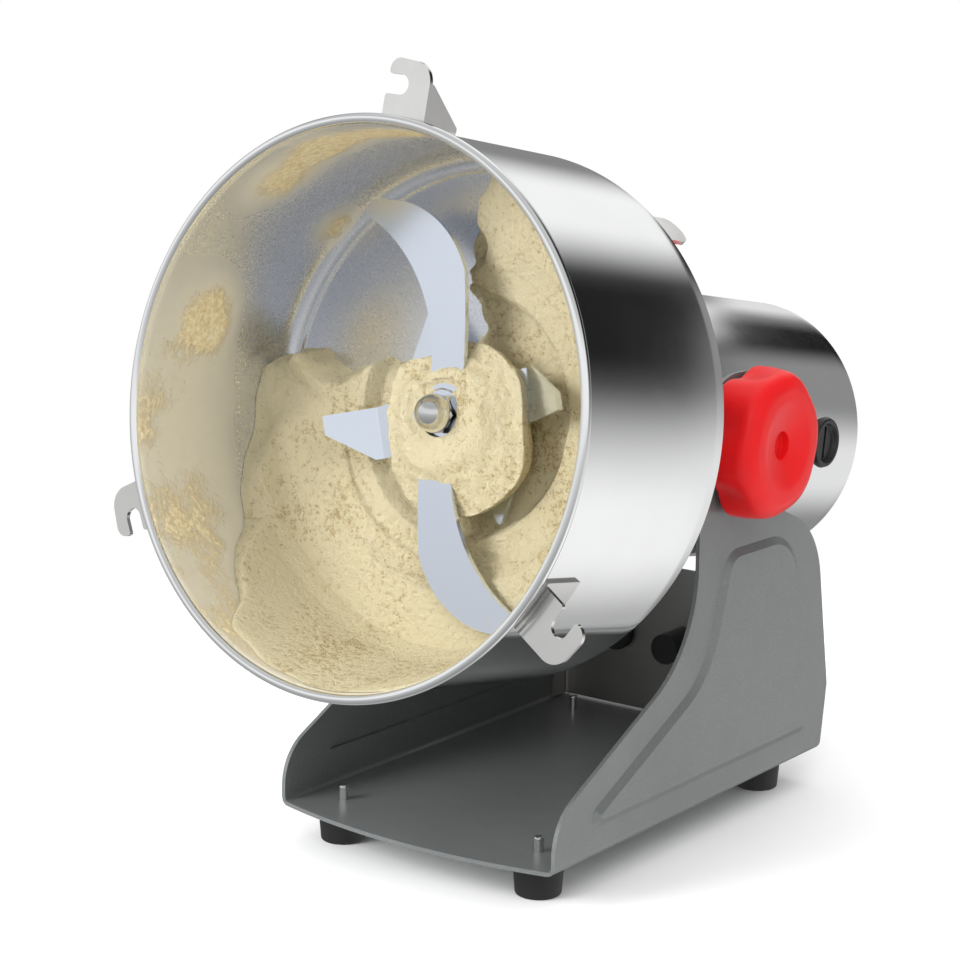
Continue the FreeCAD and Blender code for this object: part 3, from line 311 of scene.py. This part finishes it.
def greyPaint():
    # satin metallic powder coat: a fine flake, a faint orange peel and smudged gloss
    material, tree, shader = newMaterial("greyPaint")
    marks = placeGroup(tree, handling, Size=18.0)
    coordinates = tree.nodes.new("ShaderNodeTexCoord")
    peel = noiseNode(tree, coordinates.outputs["Object"], 620.0, 2.0, 0.5)
    base = mixColor(tree, marks.outputs["Speck"], paint["grey"], paint["flake"])
    link(tree, mixColor(tree, mathNode(tree, "MULTIPLY", marks.outputs["Smudge"], 0.25), base,
                        [c * 0.8 for c in paint["grey"]]), shader.inputs["Base Color"])
    shader.inputs["Metallic"].default_value = paint["metallic"]
    smudged = mathNode(tree, "MULTIPLY", marks.outputs["Smudge"], 0.08)
    link(tree, mathNode(tree, "ADD", smudged, paint["roughness"]), shader.inputs["Roughness"])
    shader.inputs["Coat Weight"].default_value = 0.25
    shader.inputs["Coat Roughness"].default_value = 0.2
    bump(tree, shader, peel, 1.2e-5)
    return material


def dustedSteel(name, color, roughness, amount, attribute=None):
    # steel inside the bowl: fine lines under a film of flour whose amount is set, or read from an attribute
    material, tree, shader = newMaterial(name)
    lines = placeGroup(tree, brushing, Stretch=(1, 1, 1), Scale=700.0)
    dust = placeGroup(tree, flourDust, Amount=amount)
    if attribute:
        reader = tree.nodes.new("ShaderNodeAttribute")
        reader.attribute_name = attribute
        link(tree, reader.outputs["Fac"], dust.inputs["Amount"])
        film = mathNode(tree, "MULTIPLY", rangeNode(tree, reader.outputs["Fac"], 0.10, 0.50), 0.72)
        color = mixColor(tree, film, color, (0.74, 0.67, 0.48))
        mask = mathNode(tree, "MAXIMUM", dust.outputs["Mask"], film)
    else:
        mask = dust.outputs["Mask"]
    link(tree, mixColor(tree, dust.outputs["Mask"], color, dust.outputs["Color"]), shader.inputs["Base Color"])
    link(tree, mathNode(tree, "SUBTRACT", 1.0, mask), shader.inputs["Metallic"])
    steelRough = mathNode(tree, "ADD", mathNode(tree, "MULTIPLY", lines.outputs["Roughness"], 0.12),
                          roughness - 0.06)
    link(tree, mathNode(tree, "MAXIMUM", steelRough, mathNode(tree, "MULTIPLY", mask, 0.9)),
         shader.inputs["Roughness"])
    bump(tree, shader, mathNode(tree, "ADD", mathNode(tree, "MULTIPLY", lines.outputs["Height"], 0.004),
                                dust.outputs["Height"]), 4e-4)
    return material


def flour():
    # dry flour: pale, coarse crumbs over a fine powder, with painted shade darkening the deeper hollows between
    # the crumbs
    material, tree, shader = newMaterial("flour")
    coordinates = tree.nodes.new("ShaderNodeTexCoord")
    crumbs = noiseNode(tree, coordinates.outputs["Object"], 330.0, 7.0, 0.74)
    powder = noiseNode(tree, coordinates.outputs["Object"], 1300.0, 4.0, 0.7)
    clouds = noiseNode(tree, coordinates.outputs["Object"], 24.0, 3.0)
    drift = mathNode(tree, "MULTIPLY", mathNode(tree, "SUBTRACT", clouds, 0.5), 0.5)
    pitShadeAndDrift = mathNode(tree, "ADD", crumbs, drift)
    # the brown where the crumb noise is low is painted shade in the hollows that the bump lowers; the drift adds
    # broad random tone
    tone = mixColor(tree, rangeNode(tree, pitShadeAndDrift, 0.35, 0.49), (0.60, 0.45, 0.20), (0.93, 0.82, 0.53))
    link(tree, mixColor(tree, rangeNode(tree, powder, 0.42, 0.66), tone, (0.96, 0.88, 0.63)),
         shader.inputs["Base Color"])
    shader.inputs["Roughness"].default_value = 0.95
    shader.inputs["Specular IOR Level"].default_value = 0.15
    bump(tree, shader, mathNode(tree, "ADD", crumbs, mathNode(tree, "MULTIPLY", powder, 0.3)), 5e-3)
    return material


materials = {
    "grey_paint": greyPaint(),
    "brushed_panel": metal("brushedPanel", (0.52, 0.51, 0.49), 0.36, (1, 1, 0.02), 700.0, 6e-6, 0.14),
    "bright_steel": metal("brightSteel", (0.80, 0.80, 0.79), 0.10, spread=0.05),
    "black_rubber": plastic("blackRubber", (0.014, 0.014, 0.015), 0.55, grain=2e-5),
    "polished_steel": metal("polishedSteel", (0.96, 0.965, 0.965), 0.075, (1, 1, 1), 500.0, 5e-7, 0.03, 0.98),
    "hook_steel": metal("hookSteel", (0.84, 0.83, 0.81), 0.14, spread=0.08),
    # the blue tint of the blade steel is painted reflection: it stands in for cool light in the steel, against the
    # tan of the flour it mirrors
    "blade_steel": dustedSteel("bladeSteel", (0.80, 0.86, 0.96), 0.22, 0.26),
    "cast_aluminium": metal("castAluminium", (0.60, 0.60, 0.59), 0.42, (1, 1, 1), 260.0, 2e-5, 0.12),
    "plain_steel": metal("plainSteel", (0.56, 0.55, 0.53), 0.30),
    "copper": metal("copperWire", (0.72, 0.33, 0.16), 0.32, (1, 1, 0.05), 600.0, 3e-5),
    "black_plastic": plastic("blackPlastic", (0.012, 0.012, 0.013), 0.34, grain=8e-6),
    "carbon": plastic("carbon", (0.03, 0.03, 0.03), 0.6, grain=1e-5),
    "soft_rubber": plastic("softRubber", (0.02, 0.02, 0.021), 0.6, grain=1e-5),
    "red_plastic": plastic("redPlastic", (0.72, 0.008, 0.010), 0.28, 0.0, 3e-6, 0.93, 0.26),
    "white_plastic": plastic("whitePlastic", (0.78, 0.77, 0.73), 0.3, 0.2),
    "brass": metal("turnedBrass", (0.78, 0.56, 0.24), 0.28),
    "flour": flour(),
}
# the blue-grey tint of this steel is painted reflection: it stands in for cool light in the steel, against the tan
# of the flour it mirrors
innerSteel = dustedSteel("innerSteel", (0.74, 0.76, 0.81), 0.27, 0.35, "flourAmount")
for row in frame["record"]["subparts"]:
    slots = nodes[row["node"]].data.materials
    slots.clear()
    slots.append(materials[row["material_slot"]])
print("materials ready:", len(bpy.data.materials))

# bowl: spun wall with a rolled bead, stepped floor and skirt

bowl = {"radius": 121.5, "wall": 1.3, "back": 85.7, "mouth": 197.3, "beadRadius": 2.2, "beadOuter": 125.0,
        "floor": 98.6, "floorRound": 8.0, "stepRadius": 112.0, "stepDepth": 1.5, "bore": 17.0,
        "patches": [(-70, 98, 168), (-40, 113, 172), (-5, 120, 165), (-116, 32, 158), (-88, 80, 106)],
        "patchWidth": 17.3205, "patchLength": 16.0, "segments": 256}


def makeBowl():
    # a turned profile: outside up to the bead, round the bead, then the inside wall and the stepped floor
    inner = bowl["radius"] - bowl["wall"]
    beadMiddle = bowl["beadOuter"] - bowl["beadRadius"]
    beadLevel = bowl["mouth"] - bowl["beadRadius"]
    first = -math.acos((bowl["radius"] - beadMiddle) / bowl["beadRadius"])
    t = np.linspace(first, math.pi, 22)
    bead = np.stack([beadMiddle + bowl["beadRadius"] * np.cos(t), beadLevel + bowl["beadRadius"] * np.sin(t)], -1)
    outside = fillPath(roundedPath([(inner, bowl["back"], 0), (bowl["radius"], bowl["back"], 0.8),
                                    tuple(bead[0]) + (0,)]), 6)
    floor, step = bowl["floor"], bowl["stepRadius"]
    low = floor - bowl["stepDepth"]
    inside = fillPath(roundedPath([
        (inner, beadLevel - 0.6, 0), (inner, floor, bowl["floorRound"]), (step, floor, 1), (step - 1.2, low, 1),
        (bowl["bore"], low, 0), (bowl["bore"], low - bowl["wall"], 0), (step - 1, low - bowl["wall"], 1),
        (step, floor - bowl["wall"], 1), (inner, floor - bowl["wall"], 1), (inner, bowl["back"] + 0.4, 0)]), 2.5)
    path = np.concatenate([outside[:-1], bead, inside])
    piece = turnedAboutBowl("bowlSkin", path, bowl["segments"])
    mesh = piece.data
    centres = np.zeros(len(mesh.polygons) * 3)
    mesh.polygons.foreach_get("center", centres)
    x, v, l = headCoordinates(centres.reshape(-1, 3))
    radius = np.hypot(x, v)
    wet = (radius < bowl["radius"] - 0.2) & (l > low - 0.2) & (l < beadLevel)
    mesh.materials.append(materials["polished_steel"])
    mesh.materials.append(innerSteel)
    mesh.polygons.foreach_set("material_index", wet.astype(np.int32))
    amounts(mesh)
    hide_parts("bowl")
    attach(piece, "head")


def amounts(mesh):
    # how much flour clings: most low on the wall and towards the mouth, none on the floor, and a few patches
    points = np.zeros(len(mesh.vertices) * 3)
    mesh.vertices.foreach_get("co", points)
    x, v, l = headCoordinates(points.reshape(-1, 3))
    wall = smooth(np.hypot(x, v), 112, 119)
    near, low = smooth(l, 105, 178), smooth(-v, -75, 10)
    patches = sum(np.exp(-((x - px) ** 2 + (v - pv) ** 2) / bowl["patchWidth"] ** 2
                         - ((l - pl) / bowl["patchLength"]) ** 2) for px, pv, pl in bowl["patches"])
    value = 0.06 + wall * (0.20 * near + 0.15 * low + 0.05 * near * low) + 0.42 * wall * patches
    attribute = mesh.attributes.new("flourAmount", "FLOAT", "POINT")
    attribute.data.foreach_set("value", value.astype(np.float32))


makeBowl()
print("bowl made")

# motor housing: a rolled shell

motor = {"radius": 67.8, "wall": 1.6, "rear": -143.6, "front": 84.0, "segments": 224}


def makeMotorShell():
    # a plain tube turned about the bowl's axis
    inner = motor["radius"] - motor["wall"]
    path = fillPath(roundedPath([(inner, motor["front"], 0), (inner, motor["rear"], 0.4),
                                 (motor["radius"], motor["rear"], 0.8), (motor["radius"], motor["front"], 0.3),
                                 (inner + 0.2, motor["front"], 0)]), 6)
    piece = turnedAboutBowl("motorSkin", path, motor["segments"])
    piece.data.materials.append(materials["polished_steel"])
    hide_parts("motor_shell")
    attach(piece, "head")


makeMotorShell()
print("motor housing made")

# lock knob: six soft lobes under a round dished face

knob = {"back": 81.4, "length": 25.0, "radius": 36.0, "face": 33.0, "hole": 6.2, "holeDepth": 7.0, "dish": 3.4,
        "lobes": 6, "lobeDepth": 4.6, "turn": 10.0, "bore": 9.0,
        "segments": 216}


def makeKnob():
    # radius = profile radius less the scallop, which fades where the face begins
    back, face = knob["back"], knob["back"] + knob["length"]
    path = fillPath(roundedPath([
        (knob["bore"], back, 0), (knob["radius"], back, 3.2), (knob["radius"], back + 9.5, 16),
        (knob["face"] + 1.1, face - 0.2, 9.4), (20.5, face, 13),
        (knob["hole"] + 0.4, face - knob["dish"], 0.6), (knob["hole"], face - knob["holeDepth"], 0.4),
        (0.0, face - knob["holeDepth"], 0)], 6), 1.6)
    radius, along = path[:, 0][None], path[:, 1][None]
    angle = np.arange(knob["segments"])[:, None] * 2 * math.pi / knob["segments"]
    wave = (0.5 - 0.5 * np.cos(knob["lobes"] * (angle - math.radians(knob["turn"])))) ** 1.4
    outer = smooth(radius, 20, 33)
    fade = 1 - 0.78 * smooth(along, back + 4, back + 22)
    scallop = radius - knob["lobeDepth"] * wave * outer * fade
    points = np.stack([along + 0 * angle, scallop * np.cos(angle),
                       head["pivotHeight"] + scallop * np.sin(angle)], -1)
    piece = gridMesh("knobGrip", points / 1000, smoothAngle=40)
    piece.data.materials.append(materials["red_plastic"])
    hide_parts("lock_knob")
    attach(piece, "knob")


makeKnob()
print("knob made")

# flour heaped against the low side of the bowl, clear of the turning blades, and flour caked on their hub

heap = {"inner": 17.6, "outer": 120.0, "floor": 97.4, "rings": 190, "segments": 480, "seed": 7,
        "wallAngle": [-180, -160, -140, -120, -100, -60, -20, 20, 45, 62, 78, 92, 150, 180],
        "wallLevel": [116, 132, 152, 182, 190, 191, 189, 186, 178, 160, 132, 112, 104, 116],
        "sweepRadius": [20, 53, 58, 68, 72, 105, 109, 114, 120],
        "sweepDepth": [6.8, 6.8, 14.5, 14.5, 23.5, 24, 34, 62, 96],
        "middleDepth": 16, "crumb": 3.4, "sunk": 1.2}
caked = {"inner": 10.6, "reach": 39.0, "low": 106.8, "top": 129.5, "rings": 90, "segments": 300, "seed": 21,
         "rim": 0.62}


def valueNoise(x, y, z, size, seed):
    # smooth random values on a lattice of the given size, blended between its corners
    cells = np.stack([x, y, z]) / size
    low = np.floor(cells).astype(np.int64)
    part = cells - low
    part = part * part * (3 - 2 * part)
    total = 0
    for corner in range(8):
        offset = np.array([corner & 1, corner >> 1 & 1, corner >> 2 & 1])
        key = low + offset.reshape(3, *([1] * (low.ndim - 1)))
        mixed = (key[0] * 73856093) ^ (key[1] * 19349663) ^ (key[2] * 83492791) ^ (seed * 2654435761)
        mixed = (mixed ^ (mixed >> 13)) * 1274126177
        value = ((mixed ^ (mixed >> 16)) & 65535) / 65535
        weight = 1
        for axis in range(3):
            weight = weight * (part[axis] if offset[axis] else 1 - part[axis])
        total = total + value * weight
    return total


def crumbNoise(x, v, seed):
    # values about 0 at five sizes, with sharp pits between the crumbs
    sizes = (46, 19, 8, 3.6, 2.1)
    lumps = [valueNoise(x, v, 0 * x, size, seed + k) - 0.5 for k, size in enumerate(sizes)]
    crumbs = 0.5 * lumps[2] - 0.5 * np.abs(lumps[3]) + 0.4 * lumps[4] + 0.12
    return lumps[0] + 0.6 * lumps[1], crumbs, lumps


def makeHeap():
    # height over the bowl's floor from the radius and the angle, kept under the sweep of the blades, and falling
    # to just under the floor where the heap ends
    t = np.linspace(0, 1, heap["rings"])[None]
    radius = heap["inner"] + (heap["outer"] - heap["inner"]) * t ** 0.8
    angle = np.arange(heap["segments"])[:, None] * 2 * math.pi / heap["segments"]
    x, v = radius * np.cos(angle), radius * np.sin(angle)
    broad, crumbs, lumps = crumbNoise(x, v, heap["seed"])
    degrees = np.degrees(np.arctan2(v, x))
    wall = np.interp(degrees, heap["wallAngle"], heap["wallLevel"]) - heap["floor"] + 12 * lumps[1]
    allowed = np.interp(radius, heap["sweepRadius"], heap["sweepDepth"])
    lumpy = smooth(-radius, -119.5, -112)
    middle = heap["middleDepth"]
    depth = middle + (wall - middle) * smooth(radius, 70, 121) + 10 * broad
    depth = np.minimum(depth, allowed - 1.0 + 0.9 * broad)
    depth = np.minimum(depth + lumpy * heap["crumb"] * crumbs * (0.6 + broad * 0.6), allowed)
    # the heap lies low in the bowl and up its right side
    inside = np.maximum(21 - v + 0.06 * x, x + 6) + 15 * lumps[1] + 6 * lumps[2] + 3 * lumps[3]
    level = heap["floor"] - heap["sunk"] + (depth + heap["sunk"]) * smooth(inside, -4, 5)
    piece = gridMesh("flourHeap", headPoint(x, v, level), smoothAngle=180)
    piece.data.materials.append(materials["flour"])
    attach(piece, "head")


def makeCakedFlour():
    # flour packed round the hub and between the roots of the blades, which turns with them: a crown out to the
    # rim at a reach that wanders with the angle, then a side down to the low level
    t = np.linspace(0, 1, caked["rings"])[None]
    angle = np.arange(caked["segments"])[:, None] * 2 * math.pi / caked["segments"]
    across, up = np.cos(angle + 0 * t), np.sin(angle + 0 * t)
    reach = caked["reach"] + 8 * np.cos(angle + 0.9) + 9 * (valueNoise(across * 40, up * 40, 0 * up, 21, 3) - 0.5)
    broad, crumbs = crumbNoise(across * 34 * t, up * 34 * t, caked["seed"])[:2]
    side = np.clip((t - caked["rim"]) / (1 - caked["rim"]), 0, 1)
    radius = caked["inner"] + (reach - caked["inner"]) * np.clip(t / caked["rim"], 0, 1)
    radius = radius + 2.4 * crumbs * smooth(t, 0.3, 0.6) * (1 - side) - 7 * side ** 2
    crown = caked["top"] - 9 * smooth(t, 0.12, caked["rim"]) - 2.6 * smooth(up, 0.2, 0.9)
    crown = crown + 5 * broad * smooth(t, 0.05, 0.3) + 3.2 * crumbs * smooth(t, 0.02, 0.2)
    level = crown + (caked["low"] - crown) * side
    piece = gridMesh("cakedFlour", headPoint(radius * across, radius * up, level), smoothAngle=180)
    piece.data.materials.append(materials["flour"])
    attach(piece, "rotor")


makeHeap()
makeCakedFlour()
print("flour made")

# floor, light and camera

stage = {"floorColor": (0.93, 0.93, 0.93), "size": 6.0, "fadeFrom": 0.30, "fadeTo": 0.62}


def makeFloor():
    mesh = bpy.data.meshes.new("floor")
    half = stage["size"]
    mesh.from_pydata([(-half, -half, 0), (half, -half, 0), (half, half, 0), (-half, half, 0)], [], [(0, 1, 2, 3)])
    floor = bpy.data.objects.new("floor", mesh)
    scene.collection.objects.link(floor)
    material, tree, shader = newMaterial("floorWhite")
    shader.inputs["Base Color"].default_value = (*stage["floorColor"], 1)
    shader.inputs["Roughness"].default_value = 0.9
    shader.inputs["Specular IOR Level"].default_value = 0.0
    # away from the object the floor thins out to the white behind it, and near the object it keeps the shadow
    coordinates = tree.nodes.new("ShaderNodeTexCoord")
    length = tree.nodes.new("ShaderNodeVectorMath")
    length.operation = "LENGTH"
    link(tree, coordinates.outputs["Object"], length.inputs[0])
    fade = rangeNode(tree, length.outputs["Value"], stage["fadeFrom"], stage["fadeTo"], 1.0, 0.0)
    link(tree, fade, shader.inputs["Alpha"])
    mesh.materials.append(material)
    floor.visible_glossy = False


# Soft boxes seen in the steel: (angle about the bowl's axis from +X, half its width, where its soft edge ends,
# brightness), laid over a plain grey in this order. The first of each set is a black flag. Rays close to the axis
# see the inner set and rays further from it the outer set; front is (height of the ray, brightness).
studio = {
    "outerGrey": 0.24, "outerBoxes": [(46, 12, 56, 0.012), (-118, 12, 34, 0.42), (107, 10, 40, 0.92),
                                      (-44, 8, 66, 0.92)],
    "innerGrey": 0.26, "innerBoxes": [(96, 8, 34, 0.012), (154, 10, 34, 0.75), (-30, 12, 60, 0.78)],
    "front": [(-1.0, 0.22), (-0.3, 0.46), (0.0, 0.60), (0.1, 0.85), (0.45, 0.92), (0.6, 0.45), (1.0, 0.60)],
    "innerCone": 30.2, "outerCone": 31.4, "rearEnd": 70, "frontStart": 100, "fill": 0.88,
}


def boxNodes(tree, turn, grey, boxes):
    # each box covers what is there by how near the ray's angle is to its middle, the short way round
    seen = (grey, grey, grey)
    for middle, half, edge, level in boxes:
        away = mathNode(tree, "PINGPONG", mathNode(tree, "SUBTRACT", turn, float(middle)), 180.0)
        seen = mixColor(tree, rangeNode(tree, away, half, edge, 1.0, 0.0), seen, (level, level, level))
    return seen


def rampNode(tree, factor, stops, low, high):
    # brightness stops laid along a range
    node = tree.nodes.new("ShaderNodeValToRGB")
    node.color_ramp.interpolation = "B_SPLINE"
    elements = node.color_ramp.elements
    while len(elements) < len(stops):
        elements.new(0.5)
    for element, (place, grey) in zip(elements, stops):
        element.position = (place - low) / (high - low)
        element.color = (grey * 0.99, grey, grey * 1.012, 1)
    scaled = tree.nodes.new("ShaderNodeMapRange")
    link(tree, factor, scaled.inputs["Value"])
    scaled.inputs["From Min"].default_value, scaled.inputs["From Max"].default_value = low, high
    link(tree, scaled.outputs["Result"], node.inputs["Fac"])
    return node.outputs["Color"]


def makeWorld():
    # camera rays see white, glossy rays see the studio boxes, and all other rays a plain soft light
    world = bpy.data.worlds.new("studio")
    scene.world = world
    world.use_nodes = True
    tree = world.node_tree
    tree.nodes.clear()
    direction = tree.nodes.new("ShaderNodeTexCoord").outputs["Generated"]

    def along(axis):
        node = tree.nodes.new("ShaderNodeVectorMath")
        node.operation = "DOT_PRODUCT"
        link(tree, direction, node.inputs[0])
        node.inputs[1].default_value = axis
        return node.outputs["Value"]

    across, above, back = along((1, 0, 0)), along((0, tiltSin, tiltCos)), along((0, tiltCos, -tiltSin))
    turn = mathNode(tree, "MULTIPLY", mathNode(tree, "ARCTAN2", above, across), 180 / math.pi)
    cone = mathNode(tree, "MULTIPLY", mathNode(tree, "ARCCOSINE", back), 180 / math.pi)
    outer = boxNodes(tree, turn, studio["outerGrey"], studio["outerBoxes"])
    inner = boxNodes(tree, turn, studio["innerGrey"], studio["innerBoxes"])
    rear = mixColor(tree, rangeNode(tree, cone, studio["innerCone"], studio["outerCone"]), inner, outer)
    front = rampNode(tree, along((0, 0, 1)), studio["front"], -1, 1)
    boxes = mixColor(tree, rangeNode(tree, cone, studio["rearEnd"], studio["frontStart"]), rear, front)
    rays = tree.nodes.new("ShaderNodeLightPath")
    fill = tree.nodes.new("ShaderNodeBackground")
    fill.inputs["Color"].default_value = (1, 1, 1, 1)
    fill.inputs["Strength"].default_value = studio["fill"]
    gloss = tree.nodes.new("ShaderNodeBackground")
    link(tree, boxes, gloss.inputs["Color"])
    white = tree.nodes.new("ShaderNodeBackground")
    white.inputs["Color"].default_value = (1, 1, 1, 1)
    output = tree.nodes.new("ShaderNodeOutputWorld")
    first, second = tree.nodes.new("ShaderNodeMixShader"), tree.nodes.new("ShaderNodeMixShader")
    link(tree, rays.outputs["Is Glossy Ray"], first.inputs[0])
    link(tree, fill.outputs[0], first.inputs[1])
    link(tree, gloss.outputs[0], first.inputs[2])
    link(tree, rays.outputs["Is Camera Ray"], second.inputs[0])
    link(tree, first.outputs[0], second.inputs[1])
    link(tree, white.outputs[0], second.inputs[2])
    link(tree, second.outputs[0], output.inputs["Surface"])


lampTarget = (0, 0, 0.18)
lamps = {
    "keyLamp": {"place": (0.95, -1.05, 1.25), "size": 0.8, "power": 9.0},
    "sideLamp": {"place": (-0.75, -1.45, 0.75), "size": 0.8, "power": 30.0},
    "topLamp": {"place": (0.0, 0.3, 1.6), "size": 1.2, "power": 9.0},
}


def makeLamps():
    # square soft boxes that light the object without being seen in the steel
    for name, lamp in lamps.items():
        data = bpy.data.lights.new(name, "AREA")
        data.energy, data.size = lamp["power"], lamp["size"]
        item = bpy.data.objects.new(name, data)
        item.location = lamp["place"]
        ray = Vector(lampTarget) - Vector(lamp["place"])
        item.rotation_euler = ray.to_track_quat("-Z", "Y").to_euler()
        item.visible_glossy = False
        scene.collection.objects.link(item)


camera = {"place": (0.6372, -0.9509, 0.3887), "azimuth": 36.70, "elevation": 10.63, "roll": 0.698,
          "focalPixels": 2370.77, "centre": (480.08, 454.85), "image": 960.0}


def makeCamera():
    # the photo's camera: azimuth and elevation of the view, a small roll, and the lens in pixels of the picture
    data = bpy.data.cameras.new("photoCamera")
    data.sensor_width = 36.0
    data.lens = camera["focalPixels"] / camera["image"] * data.sensor_width
    data.shift_x = (camera["image"] / 2 - camera["centre"][0]) / camera["image"]
    data.shift_y = (camera["centre"][1] - camera["image"] / 2) / camera["image"]
    data.clip_start, data.clip_end = 0.05, 50.0
    item = bpy.data.objects.new("photoCamera", data)
    a, e = math.radians(camera["azimuth"]), math.radians(camera["elevation"])
    back = Vector((math.sin(a) * math.cos(e), -math.cos(a) * math.cos(e), math.sin(e)))
    right = Vector((math.cos(a), math.sin(a), 0))
    up = back.cross(right)
    r = math.radians(camera["roll"])
    turnedRight, turnedUp = right * math.cos(r) + up * math.sin(r), up * math.cos(r) - right * math.sin(r)
    matrix = Matrix((turnedRight, turnedUp, back)).transposed().to_4x4()
    matrix.translation = Vector(camera["place"])
    item.matrix_world = matrix
    scene.collection.objects.link(item)
    scene.camera = item


makeFloor()
makeWorld()
makeLamps()
makeCamera()
scene.view_settings.view_transform = "Standard"
print("stage ready")
